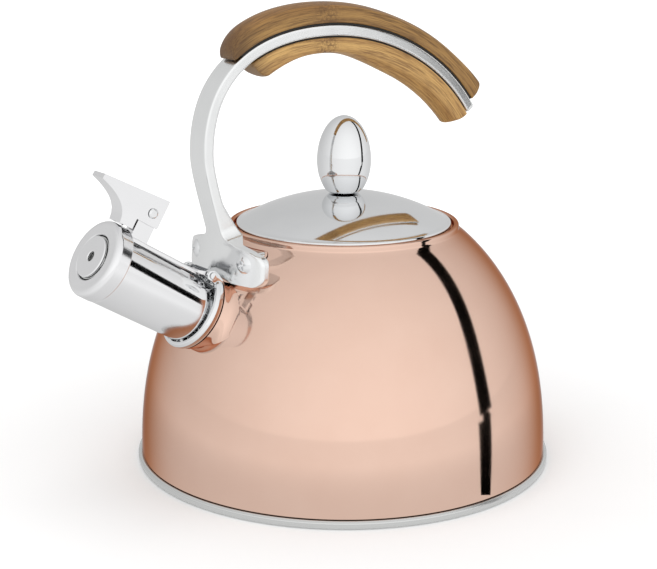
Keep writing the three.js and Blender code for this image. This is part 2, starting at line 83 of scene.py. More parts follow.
def cleaned(mesh, sharp=35, merge=1e-7):
    """Merges doubled points, drops faces with no area, and points every face outwards."""
    work = bmesh.new()
    work.from_mesh(mesh)
    bmesh.ops.remove_doubles(work, verts=work.verts, dist=merge)
    bmesh.ops.dissolve_degenerate(work, edges=work.edges, dist=merge)
    bmesh.ops.recalc_face_normals(work, faces=work.faces)
    work.to_mesh(mesh)
    work.free()
    mesh.shade_smooth()
    mesh.set_sharp_from_angle(angle=math.radians(sharp))
    return mesh


def place(name, mesh, body, slot, *stands_for):
    """Links a finished mesh, lets it ride on a body and hides the CAD nodes that it stands for."""
    piece = bpy.data.objects.new(name, mesh)
    bpy.context.scene.collection.objects.link(piece)
    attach(piece, body)
    if stands_for:
        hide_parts(*stands_for)
    print(f"{name}: {len(mesh.vertices)} points, {len(mesh.polygons)} faces")
    return piece


def build(name, skins, body, slot, material, *stands_for, grain=None, sharp=35):
    """Skins become one clean mesh with its finish, and the mesh becomes a placed piece.
    grain holds one vector for each point, for a pattern that follows the surface."""
    mesh = joined(name, skins)
    if grain is not None:
        layer = mesh.attributes.new("grain", "FLOAT_VECTOR", "POINT")
        layer.data.foreach_set("vector", np.asarray(grain, np.float32).ravel())
    cleaned(mesh, sharp).materials.append(material)
    return place(name, mesh, body, slot, *stands_for)


# %% [markdown]
# ## Profiles and frames
# `rounded` replaces each corner of a line by an arc, with one extra point just outside it. That
# support point keeps the flat beside a small arc looking flat. A frame says where a turned piece
# stands: its origin and its three directions.


# %% Profiles
def rounded(corners, radii, closed=False, steps=6):
    """Each corner becomes an arc that touches both of its sides, its centre on their bisector."""
    corners = np.asarray(corners, float)
    radii = np.broadcast_to(radii, len(corners))
    line = []
    for i, (corner, radius) in enumerate(zip(corners, radii)):
        end = i in (0, len(corners) - 1)
        if radius <= 0 or (end and not closed):
            line.append(corner[None])
            continue
        before, after = corners[i - 1] - corner, corners[(i + 1) % len(corners)] - corner
        lengths = np.linalg.norm(before), np.linalg.norm(after)
        before, after = before / lengths[0], after / lengths[1]
        half = math.acos(np.clip(before @ after, -1, 1)) / 2
        reach = min(radius / math.tan(half), 0.48 * min(lengths))
        size = reach * math.tan(half)
        bisector = (before + after) / np.linalg.norm(before + after)
        centre = corner + bisector * size / math.sin(half)
        start, stop = corner + before * reach - centre, corner + after * reach - centre
        share = np.linspace(0, 1, steps + 1)[:, None]
        arc = start * (1 - share) + stop * share
        arc *= size / np.linalg.norm(arc, axis=1, keepdims=True)
        support = [corner + before * reach * 1.04, corner + after * reach * 1.04]
        line.append(np.vstack([support[0], centre + arc, support[1]]))
    return np.vstack(line)


def axes(origin, along, across=(0, 1, 0)):
    """A frame: its Z lies along the given direction, its Y along `across`, and X follows."""
    z = np.asarray(along, float) / np.linalg.norm(along)
    y = np.asarray(across, float)
    y = y - z * (y @ z)
    y /= np.linalg.norm(y)
    return np.asarray(origin, float), np.stack([np.cross(y, z), y, z])


UPRIGHT = axes((0, 0, 0), (0, 0, 1))


def in_row(local, at=UPRIGHT):
    """Millimetres in a frame become metres in the row's own frame."""
    origin, directions = at
    return (origin + local @ directions) * MM


def turned(profile, at=UPRIGHT, steps=160, closed=False):
    """A surface of revolution: x = r cos a, y = r sin a, z = height, for every angle a."""
    radius, height = np.asarray(profile, float).T
    angle = np.linspace(0, 2 * np.pi, steps, endpoint=False)[:, None]
    local = np.stack([np.cos(angle) * radius, np.sin(angle) * radius, height + 0 * angle], -1)
    return skin(in_row(local, at), wrap_u=True, wrap_v=closed)


def smooth(x):
    """An S-curve: 0 below 0, 1 above 1, level at both ends."""
    x = np.clip(x, 0, 1)
    return x * x * (3 - 2 * x)


def cut_away(piece, tool_skin):
    """Cuts one closed skin out of a piece and keeps only the resulting mesh."""
    tool = bpy.data.objects.new("tool", cleaned(joined("tool", [tool_skin])))
    bpy.context.scene.collection.objects.link(tool)
    cutter = piece.modifiers.new("cut", "BOOLEAN")
    cutter.operation, cutter.solver, cutter.object = "DIFFERENCE", "EXACT", tool
    bpy.context.view_layer.update()
    solved = piece.evaluated_get(bpy.context.evaluated_depsgraph_get())
    result = bpy.data.meshes.new_from_object(solved)
    piece.modifiers.remove(cutter)
    bpy.data.objects.remove(tool)
    result.name = piece.name
    result.set_sharp_from_angle(angle=math.radians(35))
    piece.data = result


unit_square = rounded([(0, 0), (1, 0), (1, 1), (0, 1)], 0.1, closed=True)
print("a square with rounded corners has", len(unit_square), "points")


# %% [markdown]
# ## Helpers for finishes
# One function turns the hex colours of swatches to linear light, and one adds a node with its
# settings and links. Patterns read Object coordinates, so their scales are real sizes: a noise of
# scale 1000 has features about a millimetre across.


# %% Node helper
def linear(code):
    """An sRGB hex colour as linear red, green, blue and a full alpha."""
    srgb = np.array([int(code[i:i + 2], 16) for i in (1, 3, 5)]) / 255
    light = np.where(srgb <= 0.04045, srgb / 12.92, ((srgb + 0.055) / 1.055) ** 2.4)
    return (*light.tolist(), 1.0)


def add(tree, kind, settings=None, links=None):
    """Adds one node; settings and links name a property, or an input by name or number."""
    node = tree.nodes.new(kind)
    for key, value in (settings or {}).items():
        if isinstance(key, int) or key in node.inputs:
            node.inputs[key].default_value = value
        else:
            setattr(node, key, value)
    for key, socket in (links or {}).items():
        tree.links.new(socket, node.inputs[key])
    return node


def finish(name, **settings):
    """A new node material and its Principled shader, with the constants on its own sockets."""
    material = bpy.data.materials.new(name)
    material.use_nodes = True
    tree = material.node_tree
    tree.nodes.clear()
    constants = {key.replace("_", " "): value for key, value in settings.items()}
    shader = add(tree, "ShaderNodeBsdfPrincipled", constants)
    add(tree, "ShaderNodeOutputMaterial", {}, {"Surface": shader.outputs[0]})
    return material, tree, shader


def feed(tree, shader, links):
    """Links the sockets of a finished pattern into the shader's inputs."""
    for key, socket in links.items():
        tree.links.new(socket, shader.inputs[key])


PER_MM = 1000.0
print("helpers ready")

# %% [markdown]
# ## Mirror-polished stainless steel
# Stainless sheet is drawn to shape and buffed with wheels. A mirror polish still shows soft
# patches where the buff worked harder, about two centimetres across, and hairlines a fraction of
# a millimetre wide, drawn here at 0.3 mm. Both are faint: they break the reflection just enough.


# %% Polished metals
def polished(name, colour, shade, low, high, hairline):
    """Buffed metal: patchy roughness between low and high, a slight tint shift, and hairlines."""
    material, tree, shader = finish(name, Metallic=1.0)
    place_on = add(tree, "ShaderNodeTexCoord").outputs["Object"]
    patches = add(tree, "ShaderNodeTexNoise", {"Scale": 0.05 * PER_MM, "Detail": 3.0},
                  {"Vector": place_on}).outputs["Fac"]
    rough = add(tree, "ShaderNodeMapRange",
                {"From Min": 0.3, "From Max": 0.7, "To Min": low, "To Max": high}, {"Value": patches})
    tint = add(tree, "ShaderNodeMix", {"data_type": "RGBA", 6: linear(colour), 7: linear(shade)},
               {0: patches})
    stretched = add(tree, "ShaderNodeMapping", {"Scale": (1.0, 1.0, 0.06)}, {"Vector": place_on})
    lines = add(tree, "ShaderNodeTexNoise", {"Scale": 3.3 * PER_MM, "Detail": 2.0},
                {"Vector": stretched.outputs[0]})
    bump = add(tree, "ShaderNodeBump", {"Strength": hairline, "Distance": 0.00005},
               {"Height": lines.outputs["Fac"]})
    feed(tree, shader, {"Base Color": tint.outputs[2], "Roughness": rough.outputs[0],
                        "Normal": bump.outputs[0]})
    return material


polished_steel = polished("polished stainless steel", "#ECEDEE", "#E2E3E4", 0.04, 0.08, 0.05)
cover_steel = polished("buffed stainless steel", "#F1F1F2", "#E8E8E9", 0.09, 0.15, 0.08)
sleeve_steel = polished("bright-buffed stainless steel", "#EFEFF0", "#E6E6E7", 0.045, 0.08, 0.05)
strap_steel = polished("soft-polished stainless steel", "#F4F5F5", "#EBECEC", 0.18, 0.25, 0.02)
copper_finish = polished("rose copper PVD on stainless steel", "#E9C8B7", "#E4C1AF", 0.055, 0.085, 0.05)
copper_shader = copper_finish.node_tree.nodes["Principled BSDF"]
copper_shader.inputs["Specular Tint"].default_value = linear("#C4937A")
print("polished metals:", polished_steel.name, strap_steel.name, copper_finish.name, sep=", ")

# %% [markdown]
# ## Satin stainless steel
# The base ring and the inside are left as the lathe's abrasive belt left them: fine lines that run
# round the axis. Their spacing depends on radius and height only, so the pattern reads those two.


# %% Satin steel and the hidden metals
def satin(name, colour, shade, roughness, spacing):
    """Metal brushed round the kettle's axis, with lines `spacing` millimetres apart."""
    material, tree, shader = finish(name, Metallic=1.0)
    place_on = add(tree, "ShaderNodeTexCoord").outputs["Object"]
    parts = add(tree, "ShaderNodeSeparateXYZ", {}, {0: place_on})
    flat = add(tree, "ShaderNodeCombineXYZ", {}, {0: parts.outputs[0], 1: parts.outputs[1]})
    radius = add(tree, "ShaderNodeVectorMath", {"operation": "LENGTH"}, {0: flat.outputs[0]})
    rings = add(tree, "ShaderNodeCombineXYZ", {}, {0: radius.outputs["Value"], 2: parts.outputs[2]})
    lines = add(tree, "ShaderNodeTexNoise", {"Scale": PER_MM / spacing, "Detail": 3.0},
                {"Vector": rings.outputs[0]}).outputs["Fac"]
    tint = add(tree, "ShaderNodeMix", {"data_type": "RGBA", 6: linear(shade), 7: linear(colour)},
               {0: lines})
    rough = add(tree, "ShaderNodeMapRange",
                {"To Min": roughness - 0.06, "To Max": roughness + 0.08}, {"Value": lines})
    bump = add(tree, "ShaderNodeBump", {"Strength": 0.15, "Distance": 0.00004}, {"Height": lines})
    feed(tree, shader, {"Base Color": tint.outputs[2], "Roughness": rough.outputs[0],
                        "Normal": bump.outputs[0]})
    return material


satin_steel = satin("satin stainless steel", "#DFE0DF", "#CBCCCB", 0.26, 0.35)
core_aluminium = satin("aluminium plate", "#C9CBCE", "#B9BBBE", 0.42, 0.5)
spring_wire = satin("drawn spring steel", "#8E9094", "#6E7074", 0.30, 0.2)
print("satin metals:", satin_steel.name, core_aluminium.name, spring_wire.name, sep=", ")

# %% [markdown]
# ## Bamboo and the black sheet of painted gap shade
# The scales of the grip are milled from laminated bamboo and lacquered. Bamboo is grass: straight
# fibre bundles 0.3 to 0.6 mm wide, ending in a darker, speckled band at each node of the cane.
# The pattern follows the grip through an attribute that holds the distance along, across and deep.


# %% Bamboo
NODE_AT = 0.105               # how far along the grip the cane's node sits, in metres
# painted shade: over this span the wood darkens towards its front end, for the shadow at the rounded
# nose
NOSE_SHADE_SPAN = (0.137, 0.155)    # where the wood darkens towards its front end, in metres


def bamboo(name, light, middle, dark):
    """Streaks of three tones stretched along the grip, with a speckled band at the cane's node
    and a darker front end, which is painted shade for the shadow at the scale's rounded nose."""
    material, tree, shader = finish(name, IOR=1.45, Coat_Weight=0.08, Coat_Roughness=0.2)
    grain = add(tree, "ShaderNodeAttribute", {"attribute_name": "grain"}).outputs["Vector"]
    long_way = add(tree, "ShaderNodeMapping", {"Scale": (0.035, 1.0, 1.0)}, {"Vector": grain})
    fibres = add(tree, "ShaderNodeTexNoise",
                 {"Scale": 1.9 * PER_MM, "Detail": 5.0, "Roughness": 0.7},
                 {"Vector": long_way.outputs[0]}).outputs["Fac"]
    strip_way = add(tree, "ShaderNodeMapping", {"Scale": (0.06, 1.0, 1.0)}, {"Vector": grain})
    strips = add(tree, "ShaderNodeTexNoise", {"Scale": 0.16 * PER_MM, "Detail": 2.0},
                 {"Vector": strip_way.outputs[0]})
    broad = add(tree, "ShaderNodeMapRange", {"From Min": 0.32, "From Max": 0.68},
                {"Value": strips.outputs["Fac"]})
    fine = add(tree, "ShaderNodeMapRange", {"From Min": 0.42, "From Max": 0.62}, {"Value": fibres})
    base = add(tree, "ShaderNodeMix", {"data_type": "RGBA", 6: linear(middle), 7: linear(light)},
               {0: broad.outputs[0]})
    streak = add(tree, "ShaderNodeMath", {"operation": "MULTIPLY", 1: 0.75}, {0: fine.outputs[0]})
    streaked = add(tree, "ShaderNodeMix", {"data_type": "RGBA", 7: linear(dark)},
                   {0: streak.outputs[0], 6: base.outputs[2]})

    along = add(tree, "ShaderNodeSeparateXYZ", {}, {0: grain}).outputs[0]
    offset = add(tree, "ShaderNodeMath", {"operation": "SUBTRACT", 1: NODE_AT}, {0: along})
    away = add(tree, "ShaderNodeMath", {"operation": "ABSOLUTE"}, {0: offset.outputs[0]})
    band = add(tree, "ShaderNodeMapRange",
               {"From Min": 0.0105, "From Max": 0.001, "interpolation_type": "SMOOTHSTEP"},
               {"Value": away.outputs[0]})
    specks = add(tree, "ShaderNodeTexNoise",
                 {"Scale": 0.75 * PER_MM, "Detail": 3.0, "Roughness": 0.7}, {"Vector": grain})
    spotted = add(tree, "ShaderNodeMapRange", {"From Min": 0.42, "From Max": 0.6},
                  {"Value": specks.outputs["Fac"]})
    mark = add(tree, "ShaderNodeMath", {"operation": "MULTIPLY"},
               {0: band.outputs[0], 1: spotted.outputs[0]})
    fainter = add(tree, "ShaderNodeMath", {"operation": "MULTIPLY", 1: 0.75}, {0: mark.outputs[0]})
    whole = add(tree, "ShaderNodeMix", {"data_type": "RGBA", 7: linear("#5E4021")},
                {0: fainter.outputs[0], 6: streaked.outputs[2]})
    # painted shade: the colour darkens towards the front end, standing in for the shadow at the rounded
    # nose
    nose_shade = add(tree, "ShaderNodeMapRange",
                    {"From Min": NOSE_SHADE_SPAN[0], "From Max": NOSE_SHADE_SPAN[1], "To Max": 0.72,
                     "interpolation_type": "SMOOTHSTEP"}, {"Value": along})
    toned = add(tree, "ShaderNodeMix", {"data_type": "RGBA", 7: linear("#4A3018")},
                {0: nose_shade.outputs[0], 6: whole.outputs[2]})

    rough = add(tree, "ShaderNodeMapRange", {"To Min": 0.36, "To Max": 0.52}, {"Value": fibres})
    bump = add(tree, "ShaderNodeBump", {"Strength": 0.25, "Distance": 0.0001}, {"Height": fibres})
    feed(tree, shader, {"Base Color": toned.outputs[2], "Roughness": rough.outputs[0],
                        "Normal": bump.outputs[0]})
    return material


bamboo_top = bamboo("toasted bamboo, satin lacquer", "#A67F46", "#875F2E", "#4A2D12")
bamboo_low = bamboo("laminated bamboo, satin lacquer", "#CBA262", "#AC8046", "#694423")
# painted shade: a near-black sheet that stands in for the shadow in the gaps between the scales and the
# strap
gap_shade_sheet, gap_shade_tree, gap_shade_shader = finish("black sheet, painted gap shade", Roughness=0.6)
gap_shade_place = add(gap_shade_tree, "ShaderNodeTexCoord").outputs["Object"]
gap_shade_noise = add(gap_shade_tree, "ShaderNodeTexNoise", {"Scale": 0.8 * PER_MM}, {"Vector": gap_shade_place})
gap_shade_tint = add(gap_shade_tree, "ShaderNodeMix",
                 {"data_type": "RGBA", 6: linear("#0E0D0C"), 7: linear("#1C1A18")},
                 {0: gap_shade_noise.outputs["Fac"]})
feed(gap_shade_tree, gap_shade_shader, {"Base Color": gap_shade_tint.outputs[2]})
print("finishes:", len(bpy.data.materials))

# %% [markdown]
# ## The body
# The body is deep-drawn from one disc of steel, then coated rose copper. Its dome follows one
# formula: radius = 98.3 times the square root of 1 - (height / 131.7) to the power 2.33. The rim
# is rolled inwards and steps down to a seat for the lid. The wall is one closed profile, turned
# right round, so the inside of the kettle is as smooth and as real as its outside.

# %% Body shell
DOME_RADIUS, DOME_REACH, DOME_POWER = 98.3, 131.7, 2.33
SKIRT_EDGE, DOME_TOP, WALL = 4.15, 111.5, 1.0


def dome_radius(height):
    """How far the body's outer skin is from the axis at each height, in millimetres."""
    return DOME_RADIUS * np.sqrt(1 - (np.maximum(height, 0) / DOME_REACH) ** DOME_POWER)


heights = np.linspace(SKIRT_EDGE + 0.6, DOME_TOP, 90)
outside = np.stack([dome_radius(heights), heights], 1)
inside = outside[:-3][::-1] - [WALL, 0.0]
rim = rounded([(55.75, 111.5), (54.75, 112.5), (54.6, 115.3), (52.15, 115.3), (51.95, 113.0),
               (47.8, 112.9), (47.8, 108.5), (48.8, 108.5), (48.8, 111.7), (51.4, 111.8)],
              [0, 1.2, 1.05, 1.0, 0.8, 0.9, 0.4, 0.4, 0.6, 0])[1:-1]
hem = rounded([inside[-1], (DOME_RADIUS - WALL, SKIRT_EDGE), (DOME_RADIUS, SKIRT_EDGE), outside[0]],
              [0, 0.3, 0.3, 0])[1:-1]
body_profile = np.vstack([outside, rim, inside, hem])
body_shell = build("body_dome", [turned(body_profile, steps=224, closed=True)],
                   "kettle", "copper_finish", copper_finish, "body_shell")

# %% [markdown]
# ## The base
# The base is a sandwich: a satin steel pan, an aluminium disc that spreads the heat, and a cap that
# closes it in. Only the pan's ring shows from the side, so its edge has the rounding of a rolled
# lip. The disc is closed in on every side, so its CAD solid stays and only gets its finish.

# %% Base pan and cap
pan_profile = rounded([(0, 3.2), (87.6, 3.2), (87.6, 0.4), (99.3, 0.4), (100, 1.1), (100, 3.0),
                       (98.9, 3.85), (96.8, 3.85), (96.8, 9.0), (95.8, 9.0), (95.8, 4.2), (0, 4.2)],
                      [0, 0.4, 0.4, 0.6, 0.6, 0.8, 0.5, 0.4, 0.4, 0.4, 0.8, 0])
build("base_ring", [turned(pan_profile, steps=224)], "kettle", "satin_steel", satin_steel, "base_pan")
cap_profile = rounded([(0, 0.35), (78, 0.35), (80, 0), (86, 0), (87, 0.5), (87, 1.2), (0, 1.2)],
                      [0, 2, 1, 0.6, 0.4, 0.3, 0])
build("base_sole", [turned(cap_profile, steps=200)], "kettle", "satin_steel", satin_steel, "base_cap")
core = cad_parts["base_core"]
core.data.materials.clear()
core.data.materials.append(core_aluminium)

# %% [markdown]
# ## The spout
# The spout has its own frame: Z runs outwards along it and X points up from it. The neck is a
# coated tube whose foot is trimmed to the dome. At each angle, the trim is found by halving the
# distance between a point inside the dome and one outside it, for all angles at once. Then the
# bore is cut through the dome's wall with a boolean, so water and steam have a way out.

# %% Neck
SPOUT = math.radians(31.5)
OUTWARD = np.array([-math.cos(SPOUT), 0.0, math.sin(SPOUT)])
spout_axes = axes((-83.6, 0, 83.6), OUTWARD)
UP_FROM_SPOUT = spout_axes[1][0]
collar_axes = (spout_axes[0] + 1.2 * UP_FROM_SPOUT, spout_axes[1])
cap_axes = (spout_axes[0] + 1.7 * UP_FROM_SPOUT, spout_axes[1])


COLLAR_HALF, FOOT_SIDE, FOOT_TOP, FOOT_BOTTOM = 18.4, 24.0, 18.4, 14.2
BORE_HALF, NECK_START, NECK_WALL = 14.3, -0.35, 0.8


def dome_meets(radius, angle, at, sink=0.0):
    """The height in a frame at which a ring of points comes to lie on the dome, less a sink."""
    inner, outer = np.full_like(angle, -40.0), np.full_like(angle, 6.0)
    for _ in range(40):
        middle = (inner + outer) / 2
        local = np.stack([radius * np.cos(angle), radius * np.sin(angle), middle], -1)
        point = in_row(local, at) / MM
        height = np.minimum(point[:, 2], DOME_REACH - 0.7)
        out = np.hypot(point[:, 0], point[:, 1]) > dome_radius(height) - sink
        inner, outer = np.where(out, inner, middle), np.where(out, middle, outer)
    return outer


def neck_skin(steps=160):
    """Rings from the collar to the dome, out along the neck and back down its bore.
    The outside blends from a circle at the collar to an oval, wide and low, at the dome."""
    angle = np.linspace(0, 2 * np.pi, steps, endpoint=False)
    share = np.linspace(0, 1, 40)[:, None]
    tall = np.where(np.cos(angle) > 0, FOOT_TOP, FOOT_BOTTOM)
    oval = 1 / np.sqrt((np.cos(angle) / tall) ** 2 + (np.sin(angle) / FOOT_SIDE) ** 2)
    foot = dome_meets(oval, angle, collar_axes)
    flare = 0.3 * share + 0.7 * share ** 5
    spread = COLLAR_HALF + (oval - COLLAR_HALF) * flare
    outer_z = NECK_START + share * (foot - NECK_START)
    bore_foot = dome_meets(BORE_HALF, angle, collar_axes, 0.9)
    inner_z = bore_foot + share * (NECK_START - bore_foot)
    mouth = np.minimum(BORE_HALF, oval - NECK_WALL)
    radius = np.vstack([spread, oval[None] - 0.3, mouth + (BORE_HALF - mouth) * share])
    height = np.vstack([outer_z, foot[None] - 0.9, inner_z])
    local = np.stack([radius * np.cos(angle), radius * np.sin(angle), height], -1)
    return skin(in_row(local, collar_axes), wrap_u=True, wrap_v=True)


build("neck_tube", [neck_skin()], "kettle", "copper_finish", copper_finish, "spout_neck")
cut_away(body_shell, turned([(0, -28), (14.0, -28), (14.0, 4), (0, 4)], collar_axes, 96))
print("bore cut: the dome now has", len(body_shell.data.polygons), "faces")

# %% [markdown]
# ## Collar, pin and spring
# A rolled steel bead closes the end of the neck, and two ears on it carry the hinge pin. The
# torsion spring is a wire carried along a helix: six turns round the pin.


# %% Collar
def slab(outline, half_width, edge, at, middle=0.0, steps=4):
    """A flat piece: an outline in (x, z) given a width along y, with its edges rounded over.
    Each ring of the outline is pulled in along its own normal as the edge turns over."""
    outline = np.asarray(outline, float)
    ahead, behind = np.roll(outline, -1, 0), np.roll(outline, 1, 0)
    tangent = (ahead - behind) / np.linalg.norm(ahead - behind, axis=1, keepdims=True)
    normal = np.stack([tangent[:, 1], -tangent[:, 0]], 1)
    area = np.sum(outline[:, 0] * ahead[:, 1] - ahead[:, 0] * outline[:, 1])
    normal *= np.sign(area)
    turn = np.linspace(0, np.pi / 2, steps + 1)
    pull = np.concatenate([edge * (1 - np.sin(turn)), edge * (1 - np.sin(turn[::-1]))])
    side = np.concatenate([-half_width + edge * (1 - np.cos(turn)),
                           half_width - edge * (1 - np.cos(turn[::-1]))])
    flat = outline[None] - normal[None] * pull[:, None, None]
    local = np.stack([flat[..., 0], middle + side[:, None] + 0 * flat[..., 0], flat[..., 1]], -1)
    return skin(in_row(local, at), wrap_v=True, caps=True)


bead_profile = rounded([(13, 0), (18.3, 0), (19.1, 1.0), (19.1, 3.1), (18.2, 4.4), (17.1, 4.5),
                        (15.6, 4.5), (13, 4.5)], [0.3, 0.8, 1.0, 1.0, 0.9, 0.5, 0.3, 0.3], closed=True)
ear_outline = rounded([(13, 0.8), (13, 3.6), (14.7, 4.1), (15.4, 8.6), (17.2, 9.8), (19.0, 9.4),
                       (20.2, 7.0), (19.3, 4.0), (17.8, 0.8)],
                      [0, 0.3, 0.6, 1.4, 1.2, 1.4, 2.0, 1.4, 0.5], closed=True)
collar_skins = [turned(bead_profile, collar_axes, 160, closed=True)]
collar_skins += [slab(ear_outline, 0.8, 0.25, spout_axes, y) for y in (-10, 10)]
build("collar_bead", collar_skins, "kettle", "polished_steel", polished_steel, "spout_collar")

PIN_X, PIN_Z = 17.6, 7.0
pin_axes = axes(spout_axes[0] + PIN_X * UP_FROM_SPOUT + PIN_Z * OUTWARD, (0, 1, 0), OUTWARD)
pin_profile = rounded([(0, -12.1), (1.7, -11.9), (1.7, -11.1), (1, -11.1), (1, 11.1), (1.7, 11.1),
                       (1.7, 11.9), (0, 12.1)], [0, 0.35, 0.1, 0.1, 0.1, 0.1, 0.35, 0])
build("cover_pin", [turned(pin_profile, pin_axes, 40)],
      "kettle", "polished_steel", polished_steel, "hinge_pin")


def winding(turns, radius, wire, length, at, steps=360, around=10):
    """A wire along a helix: each ring of the wire lies across the helix's own direction."""
    share = np.linspace(0, 1, steps)
    angle = share * turns * 2 * np.pi
    spine = np.stack([radius * np.cos(angle), radius * np.sin(angle), length * (share - 0.5)], 1)
    outward = np.stack([np.cos(angle), np.sin(angle), 0 * angle], 1)
    along = np.gradient(spine, axis=0)
    along /= np.linalg.norm(along, axis=1, keepdims=True)
    side = np.cross(along, outward)
    ring = np.linspace(0, 2 * np.pi, around, endpoint=False)
    local = spine[:, None] + wire * (np.cos(ring)[None, :, None] * outward[:, None]
                                     + np.sin(ring)[None, :, None] * side[:, None])
    return skin(in_row(local, at), wrap_v=True, caps=True)


build("return_spring", [winding(6, 1.78, 0.36, 11.2, pin_axes)],
      "kettle", "spring_steel", spring_wire, "hinge_spring")

# %% [markdown]
# ## The whistle cover
# A thin sleeve, a turned cap and two pierced plates: steam rushes through both holes, and the small
# chamber between them sings. The recess round the front plate is what draws its dark ring.

# %% Sleeve, cap and whistle plates
TUBE_START, TUBE_END, CAP_FACE, STEAM_HOLE = 4.9, 51.6, 60.2, 2.2
sleeve_profile = rounded([(14.3, TUBE_START), (15.2, TUBE_START), (15.7, TUBE_END), (14.8, TUBE_END)],
                         [0.2, 0.35, 0.3, 0.2], closed=True)
build("cover_sleeve", [turned(sleeve_profile, spout_axes, 160, closed=True)],
      "whistle_cover", "polished_steel", sleeve_steel, "cover_tube")
cup_back = TUBE_END + 0.3
cup_profile = rounded([(12.4, cup_back), (17.6, cup_back), (17.6, CAP_FACE), (10.9, CAP_FACE),
                       (10.4, CAP_FACE - 0.6), (10.4, CAP_FACE - 3.6), (11.2, CAP_FACE - 3.6),
                       (11.6, CAP_FACE - 1), (16.6, CAP_FACE - 1.6), (16.6, cup_back + 1),
                       (12.4, cup_back + 1)],
                      [0.3, 0.7, 2.6, 0.5, 0.5, 0.2, 0.2, 0.5, 1.8, 0.5, 0.3], closed=True)
build("cover_cup", [turned(cup_profile, cap_axes, 160, closed=True)],
      "whistle_cover", "polished_steel", cover_steel, "cover_cap")
front_low, front_high = CAP_FACE - 0.4, CAP_FACE + 1.0
front_profile = rounded([(STEAM_HOLE, front_low), (9.3, front_low), (9.7, front_high),
                         (STEAM_HOLE, front_high)], [0.2, 0.3, 0.7, 0.5], closed=True)
build("whistle_plate_front", [turned(front_profile, cap_axes, 128, closed=True)],
      "whistle_cover", "polished_steel", cover_steel, "whistle_front")
back_face = CAP_FACE - 0.7
back_profile = rounded([(STEAM_HOLE, back_face - 3.4), (9.9, back_face - 3.4), (9.9, back_face),
                        (9.1, back_face), (9.1, back_face - 2.6), (STEAM_HOLE, back_face - 2.6)],
                       [0.2, 0.8, 0.2, 0.2, 0.5, 0.2], closed=True)
build("whistle_plate_back", [turned(back_profile, cap_axes, 96, closed=True)],
      "whistle_cover", "satin_steel", satin_steel, "whistle_back")

# %% [markdown]
# ## Pressed steel parts
# The lever and the hinge arm are pressed from plate: flat faces with small rounded edges. Their
# CAD solids already have the right shape, so a merged copy gets a bevel of a fifth to a quarter of
# a millimetre, which is what tumbling in an abrasive drum leaves on such parts.


# %% Softened copies
def softened(name, node, body, slot, material, width, angle=30):
    """A merged copy of a CAD node with flat faces joined and every sharp edge rounded."""
    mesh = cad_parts[node].data.copy()
    mesh.name = name
    mesh.materials.clear()
    for layer in [a.name for a in mesh.attributes if a.name == "custom_normal"]:
        mesh.attributes.remove(mesh.attributes[layer])
    work = bmesh.new()
    work.from_mesh(mesh)
    bmesh.ops.remove_doubles(work, verts=work.verts, dist=2e-6)
    bmesh.ops.dissolve_limit(work, angle_limit=math.radians(1), verts=work.verts, edges=work.edges)
    bmesh.ops.recalc_face_normals(work, faces=work.faces)
    work.to_mesh(mesh)
    work.free()
    mesh.shade_smooth()
    mesh.set_sharp_from_angle(angle=math.radians(angle))
    piece = place(name, mesh, body, slot, node)
    mesh.materials.append(material)
    edge = piece.modifiers.new("edge", "BEVEL")
    edge.width, edge.segments, edge.limit_method = width * MM, 3, "ANGLE"
    edge.angle_limit = math.radians(angle)
    edge.harden_normals = True
    return piece


softened("thumb_lever", "lever", "whistle_cover", "polished_steel", cover_steel, 0.25)
softened("cover_arm", "hinge_arm", "whistle_cover", "polished_steel", cover_steel, 0.2)
rivet_axes = axes(spout_axes[0] + 29.9 * UP_FROM_SPOUT + 45.2 * OUTWARD, (0, 1, 0), OUTWARD)
rivet_profile = rounded([(0, -5.9), (1.6, -5.8), (2.4, -5.1), (1.3, -5.0), (1.3, 5.0), (2.4, 5.1),
                         (1.6, 5.8), (0, 5.9)], [0, 0.6, 0.1, 0.05, 0.05, 0.1, 0.6, 0])
build("arm_rivet", [turned(rivet_profile, rivet_axes, 48)],
      "whistle_cover", "polished_steel", polished_steel, "lever_rivet")

# %% [markdown]
# ## The handle's path
# The strap is bent from flat bar along three Bezier curves, then runs straight down the saddle.
# Distances along the strap are measured from its free rear end, so a width, a thickness or a
# wood grain can be a function of that distance.

# %% Path of the strap
CROWN, BULGE, STRAP_FOOT, SADDLE_FOOT = (14.0, 208.4), (81.0, 154.6), (72.4, 114.0), (73.5, 98.0)
BENDS = [[(-76, 163.5), (-57.6, 191.0), (-22.2, 208.4), CROWN],
         [CROWN, (58.4, 208.4), (81.0, 188.6), BULGE],
         [BULGE, (81.0, 144.2), (74.4, 127.0), STRAP_FOOT]]
STRAP_HALF, STRAP_THICK, EAR_THICK = 6.5, 5.0, 4.2


def bezier(points, steps=240):
    """A cubic curve: the four points weighted by the cubic Bernstein polynomials."""
    t = np.linspace(0, 1, steps)[:, None]
    a, b, c, d = np.asarray(points, float)
    return a * (1 - t) ** 3 + 3 * b * t * (1 - t) ** 2 + 3 * c * t * t * (1 - t) + d * t ** 3


straight = np.linspace(STRAP_FOOT, SADDLE_FOOT, 90)
spine = np.vstack([bezier(bend)[:-1] for bend in BENDS] + [straight])
travel = np.concatenate([[0], np.cumsum(np.linalg.norm(np.diff(spine, axis=0), axis=1))])
STRAP_LENGTH = travel[-1]
FRONT_LEG = 200.0     # past this distance the strap is on its way down at the front
tangents = np.gradient(spine, travel, axis=0)
tangents /= np.linalg.norm(tangents, axis=1, keepdims=True)
for _ in range(12):
    tangents[1:-1] = (tangents[:-2] + tangents[1:-1] + tangents[2:]) / 3
tangents /= np.linalg.norm(tangents, axis=1, keepdims=True)


